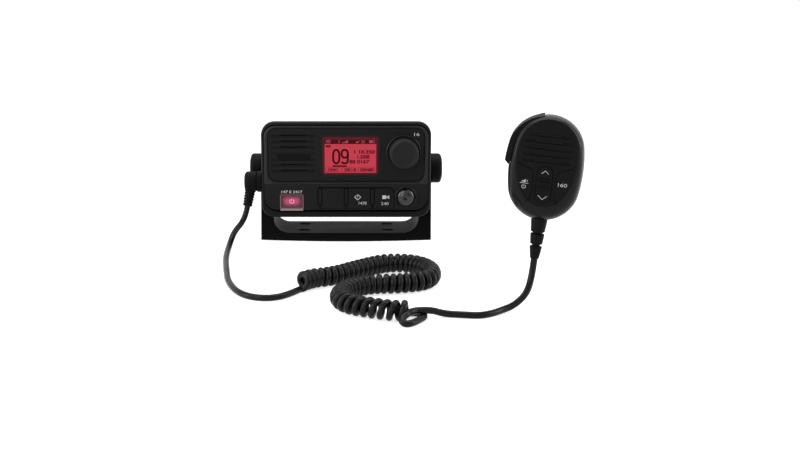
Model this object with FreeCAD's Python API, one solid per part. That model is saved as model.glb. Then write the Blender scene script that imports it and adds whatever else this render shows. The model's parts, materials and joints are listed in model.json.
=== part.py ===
import FreeCAD, Part
import math
import os
from FreeCAD import Placement, Rotation, Vector

# Fixed-mount VHF marine radio on a gimbal bracket, with a fist microphone on a curly cord.
# Millimetres.  X to the right of the face, Y away from the reader, Z up.
# The origin is the middle of the bracket's mounting holes, on the surface that it stands on.

# ---------------------------------------------------------------- driving dimensions
RUN_CLEAR = 0.05            # radial clearance of a shaft that turns or slides in its bore
SEAT_CLEAR = 0.15           # gap round a piece that is dropped into its seat
MOVE_CLEAR = 0.35           # gap round a key, flap or knob that moves in an opening

# gimbal bracket
PIVOT_Z = 68.5              # height of the tilt axis, which lies on Y = 0
BASE_T = 7.5
BASE_D = 48.0
BASE_BOW_FOOT = 6.0         # how far the front edge bows out at the foot
BASE_BOW_TOP = 1.5          # and at the top face
ARM_T = 12.5
ARM_EYE_R = 15.5            # round top of each arm
BEND_R = 15.0               # inside radius between base and arm
SLOT_SPACING_X = 84.0
SLOT_SPACING_Y = 25.0
SLOT_R = 3.0
SLOT_LENGTH = 12.0
CORE_DEPTH = 4.0            # moulded-out pockets under the base
CORE_RIB = 3.0
WASHER_T = 1.1
WASHER_R = 13.0
PIVOT_PLAY = 0.1

# tilt knobs
STUD_R = 4.0
KNOB_R = 14.5
KNOB_T = 12.0
KNOB_STANDOFF = 0.3
KNOB_DOME = 3.0
KNOB_EDGE = 2.5
STUD_REACH = 12.0           # length of stud that screws into the chassis insert

# radio housing
BEZEL_W = 165.0             # the other widths of the radio follow this one
CHASSIS_STEP = 12.5         # how far the surround stands out past the chassis at each side
CHASSIS_W = BEZEL_W - 2 * CHASSIS_STEP
PIVOT_BOSS = 1.0
TUB_BOTTOM = 33.0
TUB_TOP = 111.0
TUB_BACK = 18.0
TUB_CORNER = 8.0
CHASSIS_WALL = 2.6
COLUMN_R = 3.0              # screw columns in the corners of the tub
COLUMN_IN = 4.0
COLUMN_UP = 5.0
SCREW_R = 1.5
SINK_STEP = 6.0
SINK_W = CHASSIS_W - 2 * SINK_STEP
SINK_BOTTOM = 43.0
SINK_TOP = 99.0
SINK_BACK = 62.0
FIN_T = 2.2
FIN_PITCH = 8.0
FIN_DEPTH = 12.0
FIN_MARGIN = 5.0
GASKET_T = 1.0
GASKET_BAND = 3.0

# front surround and face panel
BEZEL_BOTTOM = 28.3
BEZEL_TOP = 121.0
BEZEL_CORNER = 13.0
BEZEL_FRONT = -42.4
BEZEL_BACK = -35.0
BEZEL_EDGE = 2.4
BEZEL_WALL = 2.2
PANEL_GAP = 0.4
PANEL_MARGIN = 2.8
PANEL_W = BEZEL_W - 2 * PANEL_MARGIN
PANEL_BOTTOM = 35.6
PANEL_TOP = 118.4
PANEL_CORNER = 11.0
PANEL_FRONT = -42.6         # border of the upper field
KEY_FRONT = -44.4           # key field, which stands proud of the upper field
FIELD_FRONT = -41.8         # floor of the shallow upper field
PANEL_BACK = -37.6
LEDGE_LOW = 58.6
LEDGE_HIGH = 61.8
FIELD_MARGIN = 3.4
FIELD_W = PANEL_W - 2 * FIELD_MARGIN
FIELD_BOTTOM = 63.4
FIELD_TOP = 116.4
FIELD_CORNER = 9.0

# loudspeaker grille
GRILLE_IN = 25.4            # from the left edge of the upper field to the grille's middle
GRILLE_X = GRILLE_IN - FIELD_W / 2
GRILLE_TOP = 108.3
GRILLE_ROWS = 7
GRILLE_PITCH = 5.75
GRILLE_LENGTH = 42.4
GRILLE_H = 2.7
GRILLE_DEPTH = 0.9
SLIT_LENGTH = 25.0
SLIT_H = 1.2
MOUTH_TOP_LENGTH = 33.4     # wide mouth across the fourth and fifth rows
MOUTH_FOOT_LENGTH = 31.0
MOUTH_TOP = 89.8
MOUTH_H = 4.3
MOUTH_DEPTH = 2.4
SPEAKER_X = GRILLE_X + 0.9
SPEAKER_R = 16.0
SPEAKER_Z = 88.0
SPEAKER_DEPTH = 19.0
SPEAKER_RIM = 2.5
SPEAKER_RIM_T = 2.0
SPEAKER_WELL = 12.5
MAGNET_R = 9.9
MAGNET_T = 8.0
CONE_DEPTH = 9.0

# display
LCD_LEFT = -20.8
LCD_RIGHT = 29.2
LCD_BOTTOM = 72.1
LCD_TOP = 105.8
LCD_CORNER = 0.8
WINDOW_T = 1.5
MODULE_T = 5.5
MODULE_BORDER = 1.4

# channel dial, which turns and is pushed in to enter
DIAL_IN = 20.5
DIAL_X = FIELD_W / 2 - DIAL_IN
DIAL_Z = 92.4
DIAL_R = 14.7
DIAL_PROUD = 12.0
DIAL_EDGE = 3.0
DIAL_DISH_R = 11.0
DIAL_DISH = 0.7
DIAL_RING_R = 16.9
DIAL_RING_W = 1.6
DIAL_RING_PROUD = 1.3
DIAL_TRAVEL = 1.0
DIAL_SHAFT_R = 3.0
PLUNGER_R = 4.5
BUSH_R = 6.0

# volume knob
VOL_IN = 21.5
VOL_X = PANEL_W / 2 - VOL_IN
VOL_Z = 48.5
VOL_R = 8.5
VOL_PROUD = 5.6
VOL_RING_R = 10.7
VOL_RING_W = 1.5
VOL_SHAFT_R = 2.5

# distress-type lit button under a lifting clear guard
GUARD_IN = 15.3
GUARD_W = 22.8
GUARD_LEFT = GUARD_IN - PANEL_W / 2
GUARD_RIGHT = GUARD_LEFT + GUARD_W
GUARD_TOP = 50.6
GUARD_FOOT = 37.0
GUARD_T = 1.2
GUARD_PIN_R = 0.6
GUARD_KNUCKLE_R = 1.35
LIP_H = 1.9
LIP_T = 1.9
BUTTON_W = 17.4
BUTTON_H = 9.6
BUTTON_TRAVEL = 1.2
POCKET_DEPTH = 2.4

# three soft keys
KEY_TOP = 57.6
KEY_FOOT = 36.5
KEY_COUNT = 3
KEY_LEFT = GUARD_RIGHT + 16.1
KEY_END = VOL_X - 11.0      # right end of the last key, before its chamfer
KEY_SHORT = 3.95            # the last key is this much shorter than the pitch
KEY_PITCH = (KEY_END + KEY_SHORT - KEY_LEFT) / KEY_COUNT
KEY_NIP = 4.4
KEY_TRAVEL = 0.9
KEY_T = 2.9
KEY_CORNER = 1.2
KEY_FLANGE = 0.7
KEY_FLANGE_T = 0.8
WEB_T = 2.0
DIVIDER_R = 1.45
DIVIDER_TOP = 56.9
DIVIDER_FOOT = 40.6
DIVIDER_RECESS = 0.8
MAT_T = 1.4

# microphone socket and right-angle plug on the left side
PLUG_Y = -30.3
PLUG_Z = 61.6
SOCKET_BOSS_R = 8.3
SOCKET_R = 7.0
SOCKET_BORE_R = 5.2
PLUG_BARREL_R = 8.5
BRANCH_R = 5.4
SOCKET_SEAT = 2.5           # how far short of the chassis the socket ends
PLUG_REACH = 17.3
PLUG_END_X = -BEZEL_W / 2 - PLUG_REACH
COUPLING_R = 10.4
COUPLING_T = 4.6
BOOT_TOP = (PLUG_END_X + 5.5, PLUG_Y - 0.3, PLUG_Z - 9.0)
BOOT_END = (PLUG_END_X + 2.5, PLUG_Y - 2.3, PLUG_Z - 24.8)
BOOT_TOP_R = 5.3
BOOT_END_R = 4.2
BOOT_RIBS = 5

# circuit board inside the chassis
BOARD_Y = -13.0
BOARD_T = 1.6
BOARD_MARGIN = 5.0
BOARD_FOOT_GAP = 8.0
BOARD_TOP_GAP = 12.0
SHIELD = (-5.0, 40.0, 62.0, 92.0)       # left, right, bottom, top
SHIELD_T = 5.0
AMPLIFIER = (10.0, 34.0, 60.0, 72.0)
AMPLIFIER_T = 6.4

# rear sockets
ANTENNA_X = -38.0
ANTENNA_Z = 81.0
ANTENNA_R = 7.9             # 5/8 inch thread of a UHF-type aerial socket
ANTENNA_L = 13.0
ANTENNA_FLANGE = 20.0
POWER_X = -38.0
POWER_Z = 56.0
POWER_R = 8.5
POWER_BORE_R = 5.5
POWER_L = 11.0

# hand microphone, drawn upright about its own middle and then leaned over
MIC_AT = (163.0, -237.0, 116.6)
MIC_LEAN = 5.0              # degrees to the right
MIC_TURN = -10.0            # degrees about the vertical, towards the reader
MIC_HALF_W = 30.4
MIC_HALF_H = 43.9
MIC_TOP_R = 29.2
MIC_FOOT_R = 29.2
MIC_FRONT_D = 13.0
MIC_BACK_D = 14.0
MIC_WALL_IN = 7.2           # wall at the sides, which houses the push-to-talk bar
FACE_MARGIN = 8.5           # how much shorter the inlay's oval is than half of the shell
FACE_HALF_W = 23.8
FACE_HALF_H = MIC_HALF_H - FACE_MARGIN
FACE_UP = 5.6
FACE_HEAD = FACE_UP + FACE_HALF_H
FACE_FOOT = FACE_UP - FACE_HALF_H
FACE_TOP_R = 22.6
FACE_FOOT_R = 18.5
FACE_T = 2.0
FACE_RIM = 0.7              # flat edge of the shell round the inlay
BACK_MARGIN = 7.5
BACK_HALF_W = 24.0
BACK_HALF_H = MIC_HALF_H - BACK_MARGIN
BACK_TOP_R = 22.0
BACK_FOOT_R = 20.5
ROCKER_TOP = 3.4
ROCKER_LOW = FACE_FOOT + 3.6
ROCKER_L = ROCKER_TOP - ROCKER_LOW
ROCKER_UP = (ROCKER_TOP + ROCKER_LOW) / 2
MIC_SLOTS = 5
MIC_SLOT_TOP = FACE_HEAD - 12.6
MIC_SLOT_LOW = ROCKER_TOP + 3.8
MIC_SLOT_PITCH = (MIC_SLOT_TOP - MIC_SLOT_LOW) / (MIC_SLOTS - 1)
MIC_SLOT_H = 2.2
MIC_SLOT_LENGTH = 38.2
MIC_SLOT_SHORT = 33.0
MIC_SCREW_X = 15.5
MIC_SCREW_LOW = -26.0
MIC_SCREW_HIGH = 24.0
MIC_SCREW_R = 1.2
MIC_SCREW_HEAD_R = 2.4
MIC_SCREW_HEAD_T = 1.5
MIC_SCREW_SINK = 1.6
ROCKER_W = 12.3
ROCKER_PROUD = 1.6
ROCKER_SWING = 4.0
ROCKER_PIN_R = 0.8
SIDE_KEY_TRAVEL = 0.8
SIDE_KEY_PROUD = 0.9
PTT_GROW = 1.5              # outline of the bar, grown and then shifted down and to the left
PTT_SHIFT = 2.0
PTT_SINK = 1.0
PTT_POCKET = 4.2
PTT_HALF_D = 7.5
PTT_FOOT = 1.0              # level of the bar's lower end
PTT_FOOT_GAP = 1.3          # room below it, because it swings down as it swings in
PTT_PIN_R = 1.2
PTT_PIN_X = -9.5
PTT_PIN_DOWN = 5.0
PTT_EYE_R = 2.9
MIC_BOOT_L = 35.5
MIC_BOOT_IN = 2.2           # its root is let into the shell by this much
MIC_BOOT_NECK = 3.2
MIC_BOOT_STEPS = [(7.0, 5.8, 0.0, 12.2), (5.9, 5.1, 14.4, 22.6), (5.2, 3.8, 25.2, 34.5)]

# curly cord
CORD_R = 2.8
COIL_R = 8.75
LEAD_GAP = 0.3              # the leads stop this far short of the strain reliefs, which move
PLUG_LEAD = [
    (-110.0, -46.5, 13.8), (-113.2, -60.5, 4.6), (-113.8, -84.0, 2.8), (-112.2, -112.0, 2.8),
    (-108.4, -146.0, 2.8), (-104.0, -180.0, 2.8), (-93.3, -211.6, 2.8), (-79.0, -227.0, 2.8),
    (-61.0, -228.7, 2.8), (-47.8, -216.4, 2.8), (-40.5, -204.0, 2.8),
]
COIL = [
    (-40.5, -204.0), (-32.0, -189.5), (-12.0, -183.5), (13.0, -158.5), (37.0, -138.5),
    (64.0, -143.0), (77.5, -167.0), (71.5, -196.0), (47.0, -206.0), (20.0, -207.0),
    (0.0, -222.0), (-7.0, -245.5), (2.0, -265.0), (24.0, -276.0), (44.0, -283.5), (56.0, -279.5),
]
MIC_LEAD = [
    (56.0, -279.5, 8.0), (66.8, -275.9, 8.0), (80.0, -271.5, 2.8), (94.0, -273.6, 2.8),
    (108.0, -276.2, 2.8), (119.0, -270.0, 2.8), (127.0, -262.0, 2.8), (138.5, -255.0, 4.8),
    (150.0, -245.5, 12.2),
]

# ---------------------------------------------------------------- worked-out places
ARM_INSIDE = CHASSIS_W / 2 + PIVOT_BOSS + PIVOT_PLAY + WASHER_T
ARM_OUTSIDE = ARM_INSIDE + ARM_T
TUB_FRONT = BEZEL_BACK + GASKET_T
X_AXIS = Vector(1, 0, 0)
Y_AXIS = Vector(0, 1, 0)
Z_AXIS = Vector(0, 0, 1)
PLANES = {
    "XZ": (lambda u, v, w: Vector(u, w, v), Y_AXIS),
    "YZ": (lambda u, v, w: Vector(w, u, v), X_AXIS),
    "XY": (lambda u, v, w: Vector(u, v, w), Z_AXIS),
}


# ---------------------------------------------------------------- shape helpers
def block(x0, x1, y0, y1, z0, z1):
    return Part.makeBox(x1 - x0, y1 - y0, z1 - z0, Vector(x0, y0, z0))


def rod(radius, start, end):
    start = Vector(*start)
    along = Vector(*end) - start
    return Part.makeCylinder(radius, along.Length, start, along)


def pipe(outer, inner, start, end):
    return rod(outer, start, end).cut(rod(inner, start, end))


def rounded_wire(corners, plane, level):
    """Closed wire through (u, v, radius) corners, with an arc of that radius at each."""
    place = PLANES[plane][0]
    count = len(corners)
    starts, mids, ends = [], [], []
    for i, (u, v, radius) in enumerate(corners):
        here = Vector(u, v, 0)
        back = Vector(*corners[i - 1][:2], 0) - here
        ahead = Vector(*corners[(i + 1) % count][:2], 0) - here
        back.normalize()
        ahead.normalize()
        half = math.acos(max(-1.0, min(1.0, back.dot(ahead)))) / 2
        reach = radius / math.tan(half)
        inward = back + ahead
        inward.normalize()
        starts.append(here + back * reach)
        ends.append(here + ahead * reach)
        mids.append(here + inward * (radius / math.sin(half) - radius))
    edges = []
    for i in range(count):
        a, m, b, c = starts[i], mids[i], ends[i], starts[(i + 1) % count]
        a, m, b, c = [place(p.x, p.y, level) for p in (a, m, b, c)]
        if corners[i][2] > 0:
            edges.append(Part.Arc(a, m, b).toShape())
        if b.distanceToPoint(c) > 1e-6:
            edges.append(Part.LineSegment(b, c).toShape())
    return Part.Wire(edges)


def prism(corners, plane, low, high):
    face = Part.Face(rounded_wire(corners, plane, low))
    return face.extrude(PLANES[plane][1] * (high - low))


def plate(x0, x1, z0, z1, y0, y1, top_r, foot_r=None):
    """Upright plate with rounded corners, from y0 back to y1."""
    foot_r = top_r if foot_r is None else foot_r
    corners = [(x0, z0, foot_r), (x1, z0, foot_r), (x1, z1, top_r), (x0, z1, top_r)]
    return prism(corners, "XZ", y0, y1)


def stadium(x0, x1, z, height, y0, y1):
    """Level slot with round ends."""
    r = height / 2
    return plate(x0, x1, z - r, z + r, y0, y1, r * 0.999)


def turned(profile, centre, axis):
    """Solid of revolution of a closed (radius, height) profile about an axis through centre."""
    points = [Vector(r, 0, h) for r, h in profile]
    face = Part.Face(Part.makePolygon(points + points[:1]))
    solid = face.revolve(Vector(0, 0, 0), Z_AXIS, 360)
    solid.Placement = Placement(Vector(*centre), Rotation(Z_AXIS, Vector(*axis)))
    return solid


def quarter(r_centre, h_centre, radius, start_deg, end_deg, steps=5):
    """Points of a rounded edge on a turned profile."""
    out = []
    for i in range(steps + 1):
        angle = math.radians(start_deg + (end_deg - start_deg) * i / steps)
        out.append((r_centre + radius * math.cos(angle), h_centre + radius * math.sin(angle)))
    return out


def both_sides(shape):
    return [shape, shape.mirror(Vector(0, 0, 0), X_AXIS)]


def fuse(shapes):
    return shapes[0].multiFuse(shapes[1:]).removeSplitter()


def edges_at(shape, axis, level, long_side):
    """Edges that lie in one plane and whose box is at least long_side wide overall."""
    found = []
    for edge in shape.Edges:
        box = edge.BoundBox
        low, high = {"X": (box.XMin, box.XMax), "Y": (box.YMin, box.YMax), "Z": (box.ZMin, box.ZMax)}[axis]
        if abs(low - level) < 1e-4 and abs(high - level) < 1e-4 and edge.Length > long_side:
            found.append(edge)
    return found


# ---------------------------------------------------------------- gimbal bracket
def arm_outline():
    """Side view of base and arm: straight flanks that run tangent into the round eye."""
    foot_y = BASE_D / 2
    reach = math.hypot(foot_y, PIVOT_Z - BASE_T)
    angle = math.acos(ARM_EYE_R / reach) - (math.pi / 2 - math.atan2(foot_y, PIVOT_Z - BASE_T))
    touch_y = ARM_EYE_R * math.cos(angle)
    touch_z = PIVOT_Z + ARM_EYE_R * math.sin(angle)
    points = [Vector(0, -foot_y, 0), Vector(0, foot_y, 0), Vector(0, foot_y, BASE_T)]
    points.append(Vector(0, touch_y, touch_z))
    edges = [Part.LineSegment(points[i], points[i + 1]).toShape() for i in range(3)]
    crown = Vector(0, 0, PIVOT_Z + ARM_EYE_R)
    edges.append(Part.Arc(points[3], crown, Vector(0, -touch_y, touch_z)).toShape())
    edges.append(Part.LineSegment(Vector(0, -touch_y, touch_z), Vector(0, -foot_y, BASE_T)).toShape())
    edges.append(Part.LineSegment(Vector(0, -foot_y, BASE_T), points[0]).toShape())
    return Part.Face(Part.Wire(edges))


def bowed_front():
    """Front edge of the base: bowed more at the foot than at the top."""
    wires = []
    for level, bow in ((0.0, BASE_BOW_FOOT), (BASE_T, BASE_BOW_TOP)):
        left = Vector(-ARM_OUTSIDE, -BASE_D / 2, level)
        right = Vector(ARM_OUTSIDE, -BASE_D / 2, level)
        middle = Vector(0, -BASE_D / 2 - bow, level)
        bow = Part.Arc(left, middle, right).toShape()
        wires.append(Part.Wire([bow, Part.LineSegment(right, left).toShape()]))
    return Part.makeLoft(wires, True, True)


def gimbal_bracket():
    side = arm_outline().extrude(X_AXIS * (2 * ARM_OUTSIDE))
    side.translate(Vector(-ARM_OUTSIDE, 0, 0))
    top = PIVOT_Z + ARM_EYE_R + 5
    inside = plate(-ARM_INSIDE, ARM_INSIDE, BASE_T, top, -BASE_D, BASE_D, 1.0, BEND_R)
    body = fuse([side.cut(inside), bowed_front()])
    cuts = []
    slot_reach = SLOT_LENGTH / 2 - SLOT_R
    for sx in (-1, 1):
        for sy in (-1, 1):
            x, y = sx * SLOT_SPACING_X / 2, sy * SLOT_SPACING_Y / 2
            corners = [
                (x - SLOT_LENGTH / 2, y - SLOT_R, SLOT_R * 0.999),
                (x + SLOT_LENGTH / 2, y - SLOT_R, SLOT_R * 0.999),
                (x + SLOT_LENGTH / 2, y + SLOT_R, SLOT_R * 0.999),
                (x - SLOT_LENGTH / 2, y + SLOT_R, SLOT_R * 0.999),
            ]
            cuts.append(prism(corners, "XY", -1, BASE_T + 1))
    # pockets between the slot lands, each side of a rib down the middle
    bay = SLOT_SPACING_X / 2 - slot_reach - SLOT_R - 2 * CORE_RIB
    half_d = BASE_D / 2 - CORE_RIB
    for sx in (-1, 1):
        for sy in (-1, 1):
            x0, x1 = sorted((sx * CORE_RIB / 2, sx * bay))
            y0, y1 = sorted((sy * CORE_RIB / 2, sy * half_d))
            corners = [(x0, y0, 2.0), (x1, y0, 2.0), (x1, y1, 2.0), (x0, y1, 2.0)]
            cuts.append(prism(corners, "XY", -1, CORE_DEPTH))
    # shallow pocket on the inside of each arm, below the washer seat
    well_top = PIVOT_Z - WASHER_R - CORE_RIB
    well_foot = BASE_T + BEND_R + 1
    for sx in (-1, 1):
        x0, x1 = sorted((sx * (ARM_INSIDE - 1), sx * (ARM_INSIDE + CORE_DEPTH)))
        corners = [(-BASE_D / 4, well_foot, 2.0), (BASE_D / 4, well_foot, 2.0),
                   (BASE_D / 4 - 2, well_top, 2.0),
                   (-BASE_D / 4 + 2, well_top, 2.0)]
        cuts.append(prism(corners, "YZ", x0, x1))
    cuts.append(rod(STUD_R + RUN_CLEAR, (-ARM_OUTSIDE - 1, 0, PIVOT_Z), (ARM_OUTSIDE + 1, 0, PIVOT_Z)))
    return body.cut(cuts)


def friction_washers():
    bore = STUD_R + 4 * SEAT_CLEAR
    washer = pipe(WASHER_R, bore, (ARM_INSIDE - WASHER_T, 0, PIVOT_Z), (ARM_INSIDE, 0, PIVOT_Z))
    return Part.makeCompound(both_sides(washer))


# ---------------------------------------------------------------- tilt knobs
def tilt_knob(side):
    face = ARM_OUTSIDE + KNOB_STANDOFF
    profile = [(0, 0), (KNOB_R, 0), (KNOB_R, KNOB_T - KNOB_DOME - KNOB_EDGE)]
    profile += quarter(KNOB_R - KNOB_EDGE, KNOB_T - KNOB_DOME - KNOB_EDGE, KNOB_EDGE, 15, 60, 3)
    profile += [(KNOB_R * 0.6, KNOB_T - 0.8), (KNOB_R * 0.3, KNOB_T - 0.15), (0, KNOB_T)]
    knob = turned(profile, (side * face, 0, PIVOT_Z), (side, 0, 0))
    bore = rod(STUD_R, (side * face, 0, PIVOT_Z), (side * (face + KNOB_T / 2), 0, PIVOT_Z))
    return knob.cut(bore)


def tilt_stud(side):
    outer_end = ARM_OUTSIDE + KNOB_STANDOFF + KNOB_T / 2
    inner_end = CHASSIS_W / 2 + PIVOT_BOSS - STUD_REACH
    return rod(STUD_R, (side * inner_end, 0, PIVOT_Z), (side * outer_end, 0, PIVOT_Z))


# ---------------------------------------------------------------- chassis
def insert_radius():
    return STUD_R + 2.5


def column_places():
    """Screw columns in the tub's four corners."""
    x = CHASSIS_W / 2 - COLUMN_IN
    return [(sx * x, z) for sx in (-1, 1) for z in (TUB_BOTTOM + COLUMN_UP, TUB_TOP - COLUMN_UP)]


def rear_chassis():
    w = CHASSIS_W / 2
    wall = CHASSIS_WALL
    tub = plate(-w, w, TUB_BOTTOM, TUB_TOP, TUB_FRONT, TUB_BACK, TUB_CORNER)
    sink = plate(-SINK_W / 2, SINK_W / 2, SINK_BOTTOM, SINK_TOP, TUB_BACK - wall, SINK_BACK, TUB_CORNER * 0.7)
    bosses = both_sides(rod(WASHER_R, (w - wall, 0, PIVOT_Z), (w + PIVOT_BOSS, 0, PIVOT_Z)))
    outer = fuse([tub, sink] + bosses)
    hollow = plate(-w + wall, w - wall, TUB_BOTTOM + wall, TUB_TOP - wall, TUB_FRONT - 1, TUB_BACK - wall,
                   TUB_CORNER - wall)
    hollow_back = plate(-SINK_W / 2 + wall, SINK_W / 2 - wall, SINK_BOTTOM + wall, SINK_TOP - wall, 0,
                        SINK_BACK - wall, TUB_CORNER * 0.7 - wall)
    shell = outer.cut([hollow, hollow_back])
    extras = []
    for x, z in column_places():
        extras.append(rod(COLUMN_R, (x, TUB_FRONT, z), (x, TUB_BACK - wall, z)))
    depth = CHASSIS_W / 2 + PIVOT_BOSS - STUD_REACH
    for sx in (-1, 1):
        extras.append(rod(insert_radius() + 2.2, (sx * depth, 0, PIVOT_Z), (sx * (w - wall), 0, PIVOT_Z)))
    x = ANTENNA_X + ANTENNA_FLANGE / 2 + FIN_PITCH
    while x < SINK_W / 2 - FIN_MARGIN:
        low, high = SINK_BOTTOM + FIN_MARGIN, SINK_TOP - FIN_MARGIN
        corners = [(SINK_BACK, low, 0), (SINK_BACK + FIN_DEPTH, low + 4, 1.5),
                   (SINK_BACK + FIN_DEPTH, high - 4, 1.5),
                   (SINK_BACK, high, 0)]
        extras.append(prism(corners, "YZ", x - FIN_T / 2, x + FIN_T / 2))
        x += FIN_PITCH
    shell = fuse([shell] + extras)
    cuts = []
    for x, z in column_places():
        cuts.append(rod(SCREW_R + 0.1, (x, TUB_FRONT - 1, z), (x, TUB_BACK + 1, z)))
        cuts.append(rod(COLUMN_R - 0.4, (x, TUB_BACK - 1.2, z), (x, TUB_BACK + 1, z)))
    for sx in (-1, 1):
        cuts.append(rod(insert_radius(), (sx * depth, 0, PIVOT_Z), (sx * (w + PIVOT_BOSS + 1), 0, PIVOT_Z)))
    cuts.append(rod(ANTENNA_R * 0.8, (ANTENNA_X, 0, ANTENNA_Z), (ANTENNA_X, SINK_BACK + 1, ANTENNA_Z)))
    cuts.append(rod(POWER_BORE_R + 1.5, (POWER_X, 0, POWER_Z), (POWER_X, SINK_BACK + 1, POWER_Z)))
    return shell.cut(cuts)


def chassis_screws():
    screws = []
    for x, z in column_places():
        profile = [(0, 0), (2.45, 0), (2.45, 1.0), (1.9, 1.6), (0, 1.8)]
        head = turned(profile, (x, TUB_BACK - 1.2, z), (0, 1, 0))
        shank = rod(SCREW_R, (x, PANEL_BACK + 1.2, z), (x, TUB_BACK - 1.2, z))
        socket = rod(1.1, (x, TUB_BACK - 0.4, z), (x, TUB_BACK + 1, z))
        screws.append(head.fuse(shank).cut(socket))
    return Part.makeCompound(screws)


def gimbal_inserts():
    inner = CHASSIS_W / 2 + PIVOT_BOSS - STUD_REACH
    outer = CHASSIS_W / 2 + PIVOT_BOSS
    insert = pipe(insert_radius(), STUD_R + RUN_CLEAR, (inner, 0, PIVOT_Z), (outer, 0, PIVOT_Z))
    return Part.makeCompound(both_sides(insert))


def front_gasket():
    w = CHASSIS_W / 2
    outer = plate(-w + 0.6, w - 0.6, TUB_BOTTOM + 0.6, TUB_TOP - 0.6, BEZEL_BACK, TUB_FRONT, TUB_CORNER - 0.6)
    band = CHASSIS_WALL + 0.4
    inner = plate(-w + band, w - band, TUB_BOTTOM + band, TUB_TOP - band, BEZEL_BACK - 1, TUB_FRONT + 1,
                  TUB_CORNER - band)
    lands = []
    for x, z in column_places():
        lands.append(rod(COLUMN_R, (x, BEZEL_BACK, z), (x, TUB_FRONT, z)))
    seal = fuse([outer.cut(inner)] + lands)
    holes = [rod(SCREW_R + 0.1, (x, BEZEL_BACK - 1, z), (x, TUB_FRONT + 1, z)) for x, z in column_places()]
    return seal.cut(holes)


# ---------------------------------------------------------------- front surround
def panel_corners(grow):
    """Outline of the face panel, grown or shrunk by a margin."""
    w = PANEL_W / 2 + grow
    r = PANEL_CORNER + grow
    low, high = PANEL_BOTTOM - grow, PANEL_TOP + grow
    return [(-w, low, r + 2), (w, low, r + 2), (w, high, r), (-w, high, r)]


def front_bezel():
    w = BEZEL_W / 2
    body = plate(-w, w, BEZEL_BOTTOM, BEZEL_TOP, BEZEL_FRONT, BEZEL_BACK, BEZEL_CORNER)
    body = body.makeFillet(BEZEL_EDGE, edges_at(body, "Y", BEZEL_FRONT, 1.0))
    body = fuse([body, plug_line(SOCKET_BOSS_R, CHASSIS_STEP - w, -w)])
    seat = prism(panel_corners(PANEL_GAP), "XZ", BEZEL_FRONT - 1, PANEL_BACK)
    back = CHASSIS_W / 2 - CHASSIS_WALL - 1.0
    opening = plate(-back, back, TUB_BOTTOM + CHASSIS_WALL + 1, TUB_TOP - CHASSIS_WALL - 1, PANEL_BACK - 1,
                    BEZEL_BACK + 1, TUB_CORNER - CHASSIS_WALL)
    bore = plug_line(SOCKET_R, -w - 1, CHASSIS_STEP - SOCKET_SEAT - w)
    body = body.cut([seat, opening, bore])
    posts = [rod(COLUMN_R, (x, PANEL_BACK, z), (x, BEZEL_BACK, z)) for x, z in column_places()]
    body = fuse([body] + posts)
    threads = [rod(SCREW_R + 0.02, (x, PANEL_BACK + 1, z), (x, BEZEL_BACK + 1, z))
               for x, z in column_places()]
    return body.cut(threads)


# ---------------------------------------------------------------- face panel
def grille_row(index):
    return GRILLE_TOP - index * GRILLE_PITCH


def key_outline(index, grow):
    """Front outline of one soft key; the last one is nipped to clear the volume knob."""
    half_bar = DIVIDER_R * 0.55
    x0 = KEY_LEFT + index * KEY_PITCH + half_bar - grow
    x1 = KEY_LEFT + (index + 1) * KEY_PITCH - half_bar + grow
    low, high = KEY_FOOT + MOVE_CLEAR - grow, KEY_TOP - MOVE_CLEAR + grow
    r = KEY_CORNER
    if index < KEY_COUNT - 1:
        return [(x0, low, r), (x1, low, r), (x1, high, r), (x0, high, r)]
    end = KEY_END + grow
    nipped = [(end, high - KEY_NIP, 0.6), (end - KEY_NIP, high, 0.6)]
    return [(x0, low, r), (end, low, r)] + nipped + [(x0, high, r)]


def key_solid(index, grow, y0, y1):
    solid = prism(key_outline(index, grow), "XZ", y0, y1)
    notch = DIVIDER_R + 2 * MOVE_CLEAR - grow
    solid = solid.cut([divider(i, notch, y0 - 1, y1 + 1, notch - DIVIDER_R) for i in range(KEY_COUNT)])
    if index == KEY_COUNT - 1:
        clear = VOL_RING_R + 0.5 - grow
        solid = solid.cut(rod(clear, (VOL_X, y0 - 1, VOL_Z), (VOL_X, y1 + 1, VOL_Z)))
    return solid


def divider(index, r, y0, y1, grow=0.0):
    x = KEY_LEFT + index * KEY_PITCH
    return plate(x - r, x + r, DIVIDER_FOOT - grow, DIVIDER_TOP + grow, y0, y1, r * 0.999)


def button_centre():
    return (GUARD_LEFT + GUARD_RIGHT) / 2, (GUARD_FOOT + GUARD_TOP - GUARD_KNUCKLE_R) / 2


def guard_axis():
    """Hinge line of the clear guard: (y, z)."""
    return KEY_FRONT + GUARD_KNUCKLE_R - 0.5, GUARD_TOP


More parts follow.
